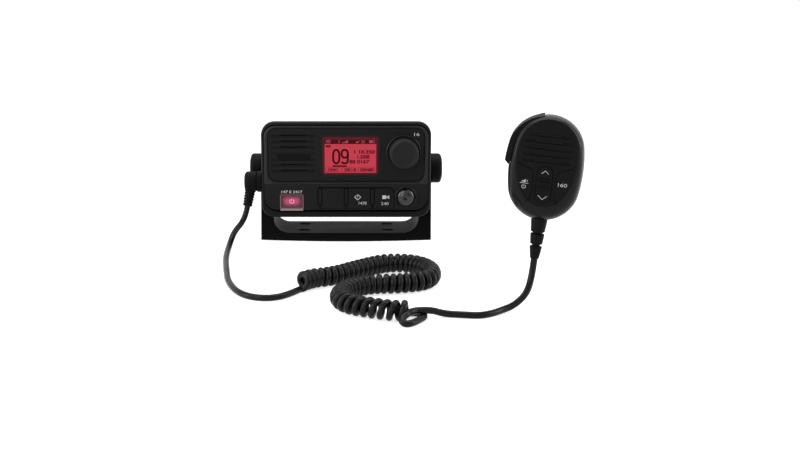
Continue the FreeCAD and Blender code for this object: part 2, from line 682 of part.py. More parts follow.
def front_panel():
    body = prism(panel_corners(0), "XZ", KEY_FRONT, PANEL_BACK)
    ledge = [(KEY_FRONT, LEDGE_LOW, 0), (PANEL_FRONT, LEDGE_HIGH, 0), (PANEL_FRONT, PANEL_TOP + 5, 0),
             (KEY_FRONT - 5, PANEL_TOP + 5, 0), (KEY_FRONT - 5, LEDGE_LOW, 0)]
    body = body.cut(prism(ledge, "YZ", -PANEL_W, PANEL_W))
    field = plate(-FIELD_W / 2, FIELD_W / 2, FIELD_BOTTOM, FIELD_TOP,
                  PANEL_FRONT - 1, FIELD_FRONT, FIELD_CORNER)
    cuts = [field]
    # loudspeaker slots
    for i in range(GRILLE_ROWS):
        z = grille_row(i)
        half = GRILLE_LENGTH / 2
        floor = FIELD_FRONT + GRILLE_DEPTH
        cuts.append(stadium(GRILLE_X - half, GRILLE_X + half, z, GRILLE_H, FIELD_FRONT - 1, floor))
        slit = SLIT_LENGTH / 2
        slit_z = z + (GRILLE_H - SLIT_H) / 2
        if abs(z - MOUTH_TOP + MOUTH_H / 2) > MOUTH_H:
            cuts.append(stadium(GRILLE_X - slit, GRILLE_X + slit, slit_z, SLIT_H,
                                FIELD_FRONT - 1, PANEL_BACK + 1))
    top, foot = MOUTH_TOP_LENGTH / 2, MOUTH_FOOT_LENGTH / 2
    mouth = [(GRILLE_X - foot, MOUTH_TOP - MOUTH_H, 0.5), (GRILLE_X + foot, MOUTH_TOP - MOUTH_H, 0.5),
             (GRILLE_X + top, MOUTH_TOP, 0.5), (GRILLE_X - top, MOUTH_TOP, 0.5)]
    cuts.append(prism(mouth, "XZ", FIELD_FRONT - 1, FIELD_FRONT + MOUTH_DEPTH))
    slit = SLIT_LENGTH / 2
    slit_z = MOUTH_TOP - MOUTH_H / 2
    cuts.append(stadium(GRILLE_X - slit, GRILLE_X + slit, slit_z, SLIT_H, FIELD_FRONT, PANEL_BACK + 1))
    # display opening
    gap = SEAT_CLEAR
    cuts.append(plate(LCD_LEFT - gap, LCD_RIGHT + gap, LCD_BOTTOM - gap, LCD_TOP + gap, FIELD_FRONT - 1,
                      PANEL_BACK + 1, LCD_CORNER))
    # dial bush and ring seat, volume bush and ring seat
    cuts.append(rod(BUSH_R + SEAT_CLEAR, (DIAL_X, KEY_FRONT, DIAL_Z), (DIAL_X, PANEL_BACK + 1, DIAL_Z)))
    cuts.append(rod(DIAL_RING_R, (DIAL_X, KEY_FRONT, DIAL_Z), (DIAL_X, FIELD_FRONT + 0.6, DIAL_Z)))
    cuts.append(rod(VOL_RING_R, (VOL_X, KEY_FRONT - 1, VOL_Z), (VOL_X, KEY_FRONT + WEB_T, VOL_Z)))
    cuts.append(rod(VOL_SHAFT_R + 1.6, (VOL_X, KEY_FRONT - 1, VOL_Z), (VOL_X, PANEL_BACK + 1, VOL_Z)))
    # key openings in the web, and the pocket behind them
    for i in range(KEY_COUNT):
        cuts.append(key_solid(i, MOVE_CLEAR, KEY_FRONT - 1, KEY_FRONT + WEB_T))
        cuts.append(divider(i, DIVIDER_R + MOVE_CLEAR, KEY_FRONT - 1, KEY_FRONT + DIVIDER_RECESS, MOVE_CLEAR))
    first, last = KEY_LEFT - DIVIDER_R, KEY_END + KEY_FLANGE + 2 * MOVE_CLEAR
    head = KEY_TOP + KEY_FLANGE + MOVE_CLEAR
    pocket = plate(first, last, KEY_FOOT - 0.3, head, KEY_FRONT + WEB_T, PANEL_BACK + 1, 1.0)
    pocket = pocket.cut(rod(VOL_RING_R - 1.2, (VOL_X, KEY_FRONT, VOL_Z), (VOL_X, PANEL_BACK + 2, VOL_Z)))
    cuts.append(pocket)
    # pocket of the guarded button, open at the panel's foot
    pin_y, pin_z = guard_axis()
    side = 2 * MOVE_CLEAR
    cuts.append(block(GUARD_LEFT - side, GUARD_RIGHT + side, KEY_FRONT - 1, KEY_FRONT + POCKET_DEPTH,
                      PANEL_BOTTOM - 1, pin_z + GUARD_KNUCKLE_R + MOVE_CLEAR))
    cx, cz = button_centre()
    bw, bh = BUTTON_W / 2 + MOVE_CLEAR, BUTTON_H / 2 + MOVE_CLEAR
    cuts.append(plate(cx - bw, cx + bw, cz - bh, cz + bh, KEY_FRONT, PANEL_BACK + 1, 1.5))
    body = body.cut(cuts)
    return body.cut(rod(GUARD_PIN_R, (GUARD_LEFT - 3, pin_y, pin_z), (GUARD_RIGHT + 3, pin_y, pin_z)))


def divider_inserts():
    y0, y1 = KEY_FRONT - 0.25, KEY_FRONT + DIVIDER_RECESS
    return Part.makeCompound([divider(i, DIVIDER_R, y0, y1) for i in range(KEY_COUNT)])


def soft_key(index):
    cap = key_solid(index, 0.0, KEY_FRONT - 0.1, KEY_FRONT + WEB_T + 0.1)
    back = KEY_FRONT + WEB_T + 0.1
    flange = key_solid(index, KEY_FLANGE + MOVE_CLEAR, back, back + KEY_FLANGE_T)
    box = flange.BoundBox
    keep = block(box.XMin + MOVE_CLEAR, box.XMax - MOVE_CLEAR, box.YMin, box.YMax, KEY_FOOT, box.ZMax)
    return cap.fuse(flange.common(keep)).removeSplitter()


def keypad_mat():
    y1 = PANEL_BACK
    y0 = y1 - MAT_T
    first, last = KEY_LEFT - DIVIDER_R + 0.2, KEY_END + 0.4
    mat = plate(first, last, KEY_FOOT, KEY_TOP + 0.4, y0, y1, 0.8)
    mat = mat.cut(rod(VOL_RING_R, (VOL_X, y0 - 1, VOL_Z), (VOL_X, y1 + 1, VOL_Z)))
    domes = []
    for i in range(KEY_COUNT):
        x = KEY_LEFT + (i + 0.45) * KEY_PITCH
        domes.append(rod(3.0, (x, y0 - 0.4, (KEY_TOP + KEY_FOOT) / 2), (x, y0, (KEY_TOP + KEY_FOOT) / 2)))
    return fuse([mat] + domes)


# ---------------------------------------------------------------- display and loudspeaker
def lcd_window():
    return plate(LCD_LEFT, LCD_RIGHT, LCD_BOTTOM, LCD_TOP, FIELD_FRONT, FIELD_FRONT + WINDOW_T, LCD_CORNER)


def lcd_module():
    glass = plate(LCD_LEFT, LCD_RIGHT, LCD_BOTTOM, LCD_TOP, FIELD_FRONT + WINDOW_T, PANEL_BACK, LCD_CORNER)
    m = MODULE_BORDER
    frame = plate(LCD_LEFT - m, LCD_RIGHT + m, LCD_BOTTOM - m, LCD_TOP + m,
                  PANEL_BACK, PANEL_BACK + MODULE_T, 1.0)
    return glass.fuse(frame).removeSplitter()


def speaker_driver():
    y0 = PANEL_BACK
    r = SPEAKER_R
    mouth = r - SPEAKER_RIM
    magnet = SPEAKER_DEPTH - MAGNET_T
    profile = [(r, 0), (r, SPEAKER_RIM_T), (mouth, SPEAKER_RIM_T + 1), (MAGNET_R, magnet),
               (MAGNET_R, SPEAKER_DEPTH), (0, SPEAKER_DEPTH), (0, SPEAKER_WELL),
               (r * 0.4, SPEAKER_WELL), (mouth - 2.0, SPEAKER_RIM_T + 0.4),
               (mouth, 0.8), (mouth, 0)]
    return turned(profile, (SPEAKER_X, y0, SPEAKER_Z), (0, 1, 0))


def speaker_cone():
    y0 = PANEL_BACK
    r = SPEAKER_R - SPEAKER_RIM
    neck = r * 0.36
    profile = [(r, 0.8), (r - 1.2, 0.2), (r - 2.4, 0.9), (neck, CONE_DEPTH), (0, CONE_DEPTH - 1.4),
               (0, CONE_DEPTH - 0.7), (neck, CONE_DEPTH + 0.8), (r - 2.2, 1.9)]
    return turned(profile, (SPEAKER_X, y0, SPEAKER_Z), (0, 1, 0))


def main_board():
    half = CHASSIS_W / 2 - CHASSIS_WALL - BOARD_MARGIN
    back = BOARD_Y + BOARD_T
    board = plate(-half, half, TUB_BOTTOM + BOARD_FOOT_GAP, TUB_TOP - BOARD_TOP_GAP, BOARD_Y, back, 2.0)
    left, right, low, high = SHIELD
    shield = block(left, right, BOARD_Y - SHIELD_T, BOARD_Y, low, high)
    left, right, low, high = AMPLIFIER
    amplifier = block(left, right, back, back + AMPLIFIER_T, low, high)
    return fuse([board, shield, amplifier])


# ---------------------------------------------------------------- channel dial
def dial_line(r, y0, y1):
    return rod(r, (DIAL_X, y0, DIAL_Z), (DIAL_X, y1, DIAL_Z))


def hub_back():
    return FIELD_FRONT - 3.2


def channel_dial():
    """Cup-shaped dial, dished on its face, with a hub for the shaft."""
    h = DIAL_PROUD
    skirt = DIAL_TRAVEL + 0.3
    r = DIAL_R
    profile = [(r, skirt), (r, skirt + 2.0), (r - 0.3, h - DIAL_EDGE)]
    profile += quarter(r - 0.3 - DIAL_EDGE, h - DIAL_EDGE, DIAL_EDGE, 20, 90, 4)
    hub, hub_r = FIELD_FRONT - hub_back(), BUSH_R - 0.8
    profile += [(DIAL_DISH_R, h), (DIAL_DISH_R - 1.2, h - DIAL_DISH * 0.6), (0, h - DIAL_DISH), (0, hub)]
    profile += [(hub_r, hub), (hub_r, h - 3.0), (r - 2.2, h - 3.0), (r - 2.2, skirt)]
    dial = turned(profile, (DIAL_X, FIELD_FRONT, DIAL_Z), (0, -1, 0))
    return dial.cut(dial_line(DIAL_SHAFT_R, FIELD_FRONT - h + 2.5, FIELD_FRONT))


def channel_shaft():
    return dial_line(DIAL_SHAFT_R, FIELD_FRONT - DIAL_PROUD + 2.5, PANEL_BACK + 7.0)


def channel_plunger():
    """Sleeve that the shaft turns in; it slides in the encoder when the dial is pushed."""
    y0, y1 = hub_back() + 0.1, PANEL_BACK + 7.0
    return dial_line(PLUNGER_R, y0, y1).cut(dial_line(DIAL_SHAFT_R + RUN_CLEAR, y0 - 1, y1 + 1))


def channel_encoder():
    y0, y1 = FIELD_FRONT - 1.0, PANEL_BACK + 8.5
    half = 8.0
    can = plate(DIAL_X - half, DIAL_X + half, DIAL_Z - half, DIAL_Z + half,
                PANEL_BACK, PANEL_BACK + 11.0, 1.0)
    body = can.fuse(dial_line(BUSH_R, y0, PANEL_BACK)).removeSplitter()
    return body.cut(dial_line(PLUNGER_R + RUN_CLEAR, y0 - 1, y1))


def dial_ring():
    y0, y1 = FIELD_FRONT - DIAL_RING_PROUD, FIELD_FRONT + 0.6
    r = DIAL_RING_R
    inner = r - DIAL_RING_W
    low, high = -(y1 - FIELD_FRONT), FIELD_FRONT - y0
    profile = [(inner, low), (r, low), (r, high - 0.7), (r - 0.5, high - 0.15),
               (r - 0.9, high), (inner, high - 0.6)]
    return turned(profile, (DIAL_X, FIELD_FRONT, DIAL_Z), (0, -1, 0))


# ---------------------------------------------------------------- volume knob
def vol_line(r, y0, y1):
    return rod(r, (VOL_X, y0, VOL_Z), (VOL_X, y1, VOL_Z))


def volume_knob():
    """Domed metal knob."""
    floor = KEY_FRONT + WEB_T
    back = floor - 0.5
    h = back - KEY_FRONT + VOL_PROUD
    r = VOL_R
    profile = [(0, 0), (r - 0.4, 0), (r, 0.5), (r, h - 4.2), (r - 0.5, h - 3.3), (r - 1.3, h - 2.5)]
    profile += [(r * 0.66, h - 1.3), (r * 0.42, h - 0.5), (r * 0.2, h - 0.1), (0, h)]
    knob = turned(profile, (VOL_X, back, VOL_Z), (0, -1, 0))
    return knob.cut(vol_line(VOL_SHAFT_R, back - h / 2, back + 1))


def volume_shaft():
    floor = KEY_FRONT + WEB_T
    h = floor - 0.5 - KEY_FRONT + VOL_PROUD
    return vol_line(VOL_SHAFT_R, floor - 0.5 - h / 2, PANEL_BACK + 6.0)


def volume_encoder():
    half = 6.5
    y0 = KEY_FRONT + WEB_T
    can = plate(VOL_X - half, VOL_X + half, VOL_Z - half, VOL_Z + half, PANEL_BACK, PANEL_BACK + 8.0, 1.0)
    body = can.fuse(vol_line(VOL_SHAFT_R + 1.5, y0, PANEL_BACK)).removeSplitter()
    return body.cut(vol_line(VOL_SHAFT_R + RUN_CLEAR, y0 - 1, PANEL_BACK + 6.2))


def volume_ring():
    y0, y1 = KEY_FRONT - 0.5, KEY_FRONT + WEB_T
    r = VOL_RING_R
    inner = r - VOL_RING_W
    high = y1 - y0
    profile = [(inner, 0), (r, 0), (r, high - 0.5), (r - 0.5, high),
               (inner + 0.3, high - 0.3), (inner, high - 0.8)]
    return turned(profile, (VOL_X, y1, VOL_Z), (0, -1, 0))


# ---------------------------------------------------------------- guarded button
def alert_button():
    cx, cz = button_centre()
    w, h = BUTTON_W / 2, BUTTON_H / 2
    guard_back = guard_plate_y() + GUARD_T
    front = guard_back + MOVE_CLEAR
    cap = plate(cx - w, cx + w, cz - h, cz + h, front, PANEL_BACK - 0.4, 1.2)
    rim = plate(cx - w - 1.2, cx + w + 1.2, cz - h - 1.2, cz + h + 1.2,
                PANEL_BACK + 0.1, PANEL_BACK + 1.0, 1.2)
    stem = plate(cx - w, cx + w, cz - h, cz + h, PANEL_BACK - 0.4, PANEL_BACK + 0.1, 1.2)
    return fuse([cap, stem, rim])


def guard_plate_y():
    return KEY_FRONT - 0.3


def guard_flap():
    """Clear plate with a raised border, hung on three knuckles."""
    y0 = guard_plate_y()
    pin_y, pin_z = guard_axis()
    sheet = block(GUARD_LEFT, GUARD_RIGHT, y0, y0 + GUARD_T, GUARD_FOOT, GUARD_TOP)
    border = 1.1
    sheet = sheet.cut(block(GUARD_LEFT + border, GUARD_RIGHT - border, y0 - 1, y0 + 0.35, GUARD_FOOT + border,
                            GUARD_TOP - 2 * border))
    knuckle = rod(GUARD_KNUCKLE_R, (GUARD_LEFT, pin_y, pin_z), (GUARD_RIGHT, pin_y, pin_z))
    flap = fuse([sheet, knuckle])
    bore = rod(GUARD_PIN_R + RUN_CLEAR, (GUARD_LEFT - 1, pin_y, pin_z), (GUARD_RIGHT + 1, pin_y, pin_z))
    return flap.cut(bore)


def guard_hinge_pin():
    pin_y, pin_z = guard_axis()
    return rod(GUARD_PIN_R, (GUARD_LEFT - 2.8, pin_y, pin_z), (GUARD_RIGHT + 2.8, pin_y, pin_z))


def guard_lip():
    """Bright finger lip along the foot of the guard."""
    y0 = guard_plate_y() - 0.8
    corners = [(y0, GUARD_FOOT - LIP_H, 0.3), (y0 + LIP_T, GUARD_FOOT - LIP_H, 0.3),
               (y0 + LIP_T, GUARD_FOOT, 0),
               (y0, GUARD_FOOT, 0.3)]
    return prism(corners, "YZ", GUARD_LEFT + 0.3, GUARD_RIGHT - 0.3)


def button_lamp():
    cx, cz = button_centre()
    y0 = PANEL_BACK + 1.0 + BUTTON_TRAVEL + 0.3
    base = block(cx - 8, cx + 8, y0 + 1.0, y0 + 2.6, cz - 5, cz + 5)
    pads = [block(cx + dx - 1.2, cx + dx + 1.2, y0, y0 + 1.0, cz - 1, cz + 1) for dx in (-5, 0, 5)]
    return fuse([base] + pads)


# ---------------------------------------------------------------- side socket and plug
def plug_line(r, x0, x1):
    return rod(r, (x0, PLUG_Y, PLUG_Z), (x1, PLUG_Y, PLUG_Z))


def mic_socket():
    outer = -BEZEL_W / 2
    depth = CHASSIS_STEP - SOCKET_SEAT
    bore = plug_line(SOCKET_BORE_R, outer - 1, outer + depth - SOCKET_SEAT)
    return plug_line(SOCKET_R, outer, outer + depth).cut(bore)


def elbow_plug():
    """Right-angle plug: a barrel with a rounded end and a short downward branch."""
    ring_end = -BEZEL_W / 2 - 0.2 - COUPLING_T
    length = ring_end - PLUG_END_X
    edge = 3.4
    profile = [(0, 0), (PLUG_BARREL_R, 0), (PLUG_BARREL_R, length - edge)]
    profile += quarter(PLUG_BARREL_R - edge, length - edge, edge, 15, 90, 5)
    profile += [(0, length)]
    barrel = turned(profile, (ring_end, PLUG_Y, PLUG_Z), (-1, 0, 0))
    top = Vector(*BOOT_TOP)
    down = Vector(*BOOT_END) - top
    down.normalize()
    start = top - down * (PLUG_Z - top.z)
    branch = turned([(0, 0), (BRANCH_R, 0), (BRANCH_R, (top - start).Length), (0, (top - start).Length)],
                    start, down)
    nose = plug_line(SOCKET_BORE_R - SEAT_CLEAR, ring_end, -BEZEL_W / 2 + 4.0)
    return fuse([barrel, branch, nose])


def plug_coupling_ring():
    outer = -BEZEL_W / 2 - 0.2
    bore = plug_line(SOCKET_BORE_R, outer + 1, outer - COUPLING_T - 1)
    body = plug_line(COUPLING_R, outer, outer - COUPLING_T).cut(bore)
    flutes = []
    for i in range(12):
        a = 2 * math.pi * i / 12
        y, z = PLUG_Y + (COUPLING_R + 0.7) * math.cos(a), PLUG_Z + (COUPLING_R + 0.7) * math.sin(a)
        flutes.append(rod(1.3, (outer - 1.2, y, z), (outer - COUPLING_T - 1, y, z)))
    return body.cut(flutes)


def ribbed_boot(length, top_r, end_r, ribs, groove, hole_r):
    """Profile of a tapered strain relief with ring grooves."""
    profile = [(hole_r, 0), (top_r, 0)]
    pitch = length * 0.8 / ribs
    for i in range(ribs):
        h = length * 0.12 + i * pitch
        for dh, sink in ((0, 0), (pitch * 0.12, groove), (pitch * 0.42, groove), (pitch * 0.54, 0)):
            r = top_r + (end_r - top_r) * (h + dh) / length
            profile.append((r - sink, h + dh))
    profile += [(end_r, length - 0.8), (end_r - 0.6, length), (hole_r, length)]
    return profile


def plug_boot():
    top, end = Vector(*BOOT_TOP), Vector(*BOOT_END)
    profile = ribbed_boot((end - top).Length, BOOT_TOP_R, BOOT_END_R, BOOT_RIBS, 0.8, 0.0)
    return turned(profile, top, end - top)


# ---------------------------------------------------------------- rear sockets
def antenna_socket():
    y0 = SINK_BACK
    half = ANTENNA_FLANGE / 2
    flange = plate(ANTENNA_X - half, ANTENNA_X + half, ANTENNA_Z - half, ANTENNA_Z + half, y0, y0 + 2.2, 2.0)
    barrel = rod(ANTENNA_R, (ANTENNA_X, y0 + 2.2, ANTENNA_Z), (ANTENNA_X, y0 + 2.2 + ANTENNA_L, ANTENNA_Z))
    shank = rod(ANTENNA_R * 0.8, (ANTENNA_X, y0 - 8.0, ANTENNA_Z), (ANTENNA_X, y0, ANTENNA_Z))
    mouth = pipe(6.0, 4.2, (ANTENNA_X, y0 + 5.0, ANTENNA_Z), (ANTENNA_X, y0 + 3 + ANTENNA_L, ANTENNA_Z))
    pin = rod(2.0, (ANTENNA_X, y0 + 5.0, ANTENNA_Z), (ANTENNA_X, y0 + 3 + ANTENNA_L, ANTENNA_Z))
    return fuse([flange, barrel, shank]).cut([mouth, pin])


def power_socket():
    y0 = SINK_BACK
    flange = rod(POWER_R + 1.6, (POWER_X, y0, POWER_Z), (POWER_X, y0 + 2.0, POWER_Z))
    barrel = rod(POWER_R, (POWER_X, y0 + 2.0, POWER_Z), (POWER_X, y0 + POWER_L, POWER_Z))
    shank = rod(POWER_BORE_R + 1.5, (POWER_X, y0 - 6.0, POWER_Z), (POWER_X, y0, POWER_Z))
    bore = rod(POWER_BORE_R, (POWER_X, y0 + 1.0, POWER_Z), (POWER_X, y0 + POWER_L + 1, POWER_Z))
    body = fuse([flange, barrel, shank]).cut(bore)
    pins = []
    for i in range(4):
        a = math.pi / 4 + i * math.pi / 2
        x, z = POWER_X + 2.6 * math.cos(a), POWER_Z + 2.6 * math.sin(a)
        pins.append(rod(0.6, (x, y0 + 1.0, z), (x, y0 + 7.0, z)))
    return fuse([body] + pins)


# ---------------------------------------------------------------- hand microphone
def mic_placed(shape):
    """Lean the upright microphone over and carry it to where it hangs."""
    lean = Rotation(Y_AXIS, MIC_LEAN)
    turn = Rotation(Z_AXIS, MIC_TURN)
    out = shape.copy()
    out.Placement = Placement(Vector(*MIC_AT), turn.multiply(lean)).multiply(shape.Placement)
    return out


def mic_point(x, y, z):
    """A point of the upright microphone, carried to where it hangs."""
    turn = Rotation(Z_AXIS, MIC_TURN).multiply(Rotation(Y_AXIS, MIC_LEAN))
    return Placement(Vector(*MIC_AT), turn).multVec(Vector(x, y, z))


def oval_wire(half_w, half_h, top_r, foot_r, up, y):
    """Egg-shaped closed wire of six tangent arcs in the XZ plane."""
    edges = []

    def place(x, z):
        return Vector(x, y, z + up)

    def tangent(end_r, sign):
        rise = half_h - end_r
        side_r = (half_w ** 2 + rise ** 2 - end_r ** 2) / (2 * (half_w - end_r))
        back = side_r - half_w
        length = math.hypot(back, rise)
        point = (back / length * end_r, sign * (rise + rise / length * end_r))
        angle = math.atan2(abs(point[1]), point[0] + back) / 2
        middle = (side_r * math.cos(angle) - back, sign * side_r * math.sin(angle))
        return point, middle

    (tx, tz), (ax, az) = tangent(top_r, 1)
    (bx, bz), (cx, cz) = tangent(foot_r, -1)
    right, left = place(half_w, 0), place(-half_w, 0)
    edges.append(Part.Arc(right, place(ax, az), place(tx, tz)).toShape())
    edges.append(Part.Arc(place(tx, tz), place(0, half_h), place(-tx, tz)).toShape())
    edges.append(Part.Arc(place(-tx, tz), place(-ax, az), left).toShape())
    edges.append(Part.Arc(left, place(-cx, cz), place(-bx, bz)).toShape())
    edges.append(Part.Arc(place(-bx, bz), place(0, -half_h), place(bx, bz)).toShape())
    edges.append(Part.Arc(place(bx, bz), place(cx, cz), right).toShape())
    return Part.Wire(edges)


def mic_wire(grow, y):
    return oval_wire(MIC_HALF_W + grow, MIC_HALF_H + grow, MIC_TOP_R + grow, MIC_FOOT_R + grow, 0, y)


def face_wire(grow, y):
    return oval_wire(FACE_HALF_W + grow, FACE_HALF_H + grow, FACE_TOP_R + grow, FACE_FOOT_R + grow,
                     FACE_UP, y)


def oval_prism(wire, depth):
    return Part.Face(wire).extrude(Y_AXIS * depth)


def dome(end, depth, last_deg):
    """Half of the shell: it rounds over from its widest outline to the end oval, as a quarter ellipse."""
    start = (MIC_HALF_W, MIC_HALF_H, MIC_TOP_R, MIC_FOOT_R, 0.0)
    wires = []
    steps = 6
    for i in range(steps + 1):
        angle = math.radians(last_deg * i / steps)
        share = (1 - math.cos(angle)) / (1 - math.cos(math.radians(last_deg)))
        size = [a + (b - a) * share for a, b in zip(start, end)]
        wires.append(oval_wire(*size, depth * math.sin(angle) / math.sin(math.radians(last_deg))))
    return Part.makeLoft(wires, True, True)


def ptt_sector(margin, foot):
    """Wedge of the side that the push-to-talk bar takes, upper left."""
    corners = [(-60, foot, 0), (-10, foot, 0), (-6.0 + margin, 30, 0), (-6.0 + margin, 60, 0), (-60, 60, 0)]
    depth = PTT_HALF_D + margin
    return prism(corners, "XZ", -depth, depth)


def ptt_outline(grow, y):
    """The bar's own outline: nearly flush at its top end and well proud at its lower end."""
    wire = mic_wire(PTT_GROW + grow, y)
    wire.translate(Vector(-PTT_SHIFT, 0, -PTT_SHIFT))
    return wire


def ptt_band(outline, inner, margin, foot=PTT_FOOT):
    depth = PTT_HALF_D + margin
    band = oval_prism(outline(-depth), 2 * depth).cut(oval_prism(mic_wire(inner, -depth - 1), 2 * depth + 2))
    return band.common(ptt_sector(margin, foot))


def ptt_pin_place():
    return PTT_PIN_X, MIC_HALF_H - PTT_PIN_DOWN


def ptt_pocket():
    x, z = ptt_pin_place()
    seat = rod(PTT_EYE_R + 0.5, (x, -PTT_HALF_D - MOVE_CLEAR, z), (x, PTT_HALF_D + MOVE_CLEAR, z))
    clear = PTT_GROW + 2 * PTT_SHIFT
    return [ptt_band(lambda y: mic_wire(clear, y), -PTT_POCKET, MOVE_CLEAR, PTT_FOOT - PTT_FOOT_GAP), seat]


def mic_front_shell():
    rim = (FACE_HALF_W + FACE_RIM, FACE_HALF_H + FACE_RIM, FACE_TOP_R + FACE_RIM,
           FACE_FOOT_R + FACE_RIM, FACE_UP)
    outer = dome(rim, -MIC_FRONT_D, 90)
    hollow = oval_prism(mic_wire(-MIC_WALL_IN, 1), -(MIC_FRONT_D - FACE_T - 2.6))
    face = oval_prism(face_wire(SEAT_CLEAR, -MIC_FRONT_D - 1), 1 + FACE_T)
    cuts = [hollow, face] + ptt_pocket()
    cuts.append(oval_prism(rocker_wire(0.6), MIC_FRONT_D))
    edge = oval_prism(face_wire(SEAT_CLEAR, -MIC_FRONT_D - 3), MIC_FRONT_D)
    for side in (-1, 1):
        cuts.append(oval_prism(side_key_wire(side, 0.6), MIC_FRONT_D).common(edge))
    sound_foot = MIC_SLOT_TOP - (MIC_SLOTS - 0.6) * MIC_SLOT_PITCH
    cuts.append(block(-MIC_SLOT_SHORT / 2 + 1.5, MIC_SLOT_SHORT / 2 - 1.5, -MIC_FRONT_D, -2, sound_foot,
                      MIC_SLOT_TOP + 1.5))
    x, z = ptt_pin_place()
    cuts.append(rod(PTT_PIN_R, (x, -PTT_HALF_D - 2.5, z), (x, 1, z)))
    reach = ROCKER_W / 2 + 1.7
    cuts.append(rod(ROCKER_PIN_R, (-reach, rocker_pin_y(), ROCKER_UP), (reach, rocker_pin_y(), ROCKER_UP)))
    cuts.append(seal_groove())
    return outer.cut(cuts)


def mic_rear_shell():
    outer = dome((BACK_HALF_W, BACK_HALF_H, BACK_TOP_R, BACK_FOOT_R, 0.0), MIC_BACK_D, 75)
    hollow = oval_prism(mic_wire(-MIC_WALL_IN, -1), MIC_BACK_D - 2.4 + 1)
    x, z = ptt_pin_place()
    cuts = [hollow, seal_groove()] + ptt_pocket() + [rod(PTT_PIN_R, (x, -1, z), (x, PTT_HALF_D + 2.5, z))]
    body = outer.cut(cuts)
    hole_r = MIC_SCREW_R + 0.1
    posts = [pipe(3.2, hole_r, (px, 0.2, pz), (px, MIC_BACK_D - 2.0, pz)) for px, pz in mic_screw_places()]
    body = fuse([body] + posts)
    holes = []
    for px, pz in mic_screw_places():
        holes.append(rod(hole_r, (px, 0, pz), (px, MIC_BACK_D + 1, pz)))
        sunk, outside = (px, MIC_BACK_D - MIC_SCREW_SINK, pz), (px, MIC_BACK_D + 1, pz)
        holes.append(rod(MIC_SCREW_HEAD_R + 0.3, sunk, outside))
    return body.cut(holes + [seal_groove()])


def mic_screw_places():
    return [(sx * MIC_SCREW_X, z) for sx in (-1, 1) for z in (MIC_SCREW_LOW, MIC_SCREW_HIGH)]


def mic_screws():
    screws = []
    seat = MIC_BACK_D - MIC_SCREW_SINK
    r, t = MIC_SCREW_HEAD_R, MIC_SCREW_HEAD_T
    for x, z in mic_screw_places():
        head = turned([(0, 0), (r, 0), (r, t * 0.6), (r * 0.7, t * 0.93), (0, t)], (x, seat, z), (0, 1, 0))
        shank = rod(MIC_SCREW_R, (x, 1.0, z), (x, seat, z))
        drive = rod(r * 0.375, (x, seat + t * 0.45, z), (x, MIC_BACK_D + 1, z))
        screws.append(head.fuse(shank).cut(drive))
    return Part.makeCompound(screws)


def mic_face_panel():
    """Matt inlay with the sound slots and the key openings."""
    y0 = -MIC_FRONT_D - 0.2
    body = oval_prism(face_wire(0, y0), FACE_T + 0.2)
    cuts = []
    for i in range(MIC_SLOTS):
        half = (MIC_SLOT_SHORT if i == 0 else MIC_SLOT_LENGTH) / 2
        z = MIC_SLOT_TOP - i * MIC_SLOT_PITCH
        cuts.append(stadium(-half, half, z, MIC_SLOT_H, y0 - 1, y0 + 1.0))
        cuts.append(stadium(-half * 0.62, half * 0.62, z, MIC_SLOT_H * 0.6, y0 - 1, 0))
    cuts.append(oval_prism(rocker_wire(MOVE_CLEAR, y0 - 1), 6))
    for side in (-1, 1):
        cuts.append(oval_prism(side_key_wire(side, MOVE_CLEAR, y0 - 1), 6))
    return body.cut(cuts)


def rocker_wire(grow, y=-MIC_FRONT_D - 3):
    w, l = ROCKER_W / 2 + grow, ROCKER_L / 2 + grow
    r = w * 0.96
    corners = [(-w, ROCKER_UP - l, r), (w, ROCKER_UP - l, r), (w, ROCKER_UP + l, r), (-w, ROCKER_UP + l, r)]
    return rounded_wire(corners, "XZ", y)


def side_key_wire(side, grow, y=-MIC_FRONT_D - 3):
    """Inner outline of the key beside the rocker; its outer edge is cut by the face oval."""
    g = grow
    far, low, high = MIC_HALF_W + 9.6, FACE_FOOT - 4.7 - g, ROCKER_TOP + 8.0 + g * 1.1
    corners = [(9.6 - g, FACE_FOOT + 8.0, 1.5), (12.0 - g, FACE_FOOT + 3.4 - g, 1.0), (15.5, low, 0),
               (far, low, 0), (far, high, 0), (9.9 - g, ROCKER_TOP - 4.2 + g * 0.7, 3.2)]
    if side < 0:
        corners = [(-u, v, r) for u, v, r in reversed(corners)]
    return rounded_wire(corners, "XZ", y)


def rocker_key():
    y0 = -MIC_FRONT_D - ROCKER_PROUD
    body = oval_prism(rocker_wire(0, y0), ROCKER_PROUD + 5.0)
    # the face falls away towards both ends from a waist in the middle
    low, high = ROCKER_UP - ROCKER_L / 2 - 1, ROCKER_UP + ROCKER_L / 2 + 1
    waist = [(y0 - 2, low, 0), (y0 + 0.7, low, 0), (y0, ROCKER_UP - 7, 0), (y0 + 0.5, ROCKER_UP, 0),
             (y0, ROCKER_UP + 7, 0), (y0 + 0.7, high, 0), (y0 - 2, high, 0)]
    body = body.cut(prism(waist, "YZ", -20, 20))
    ribs = []
    for dz in (-4.2, -1.4, 1.4, 4.2):
        ribs.append(block(-3.6, 3.6, y0 - 0.1, y0 + 1.2, ROCKER_UP + dz - 0.5, ROCKER_UP + dz + 0.5))
    body = fuse([body] + ribs)
    bore = rod(ROCKER_PIN_R + RUN_CLEAR, (-20, rocker_pin_y(), ROCKER_UP), (20, rocker_pin_y(), ROCKER_UP))
    return body.cut(bore)


def rocker_pin_y():
    return -MIC_FRONT_D + 3.4


def rocker_pin():
    reach = ROCKER_W / 2 + 1.6
    return rod(ROCKER_PIN_R, (-reach, rocker_pin_y(), ROCKER_UP), (reach, rocker_pin_y(), ROCKER_UP))


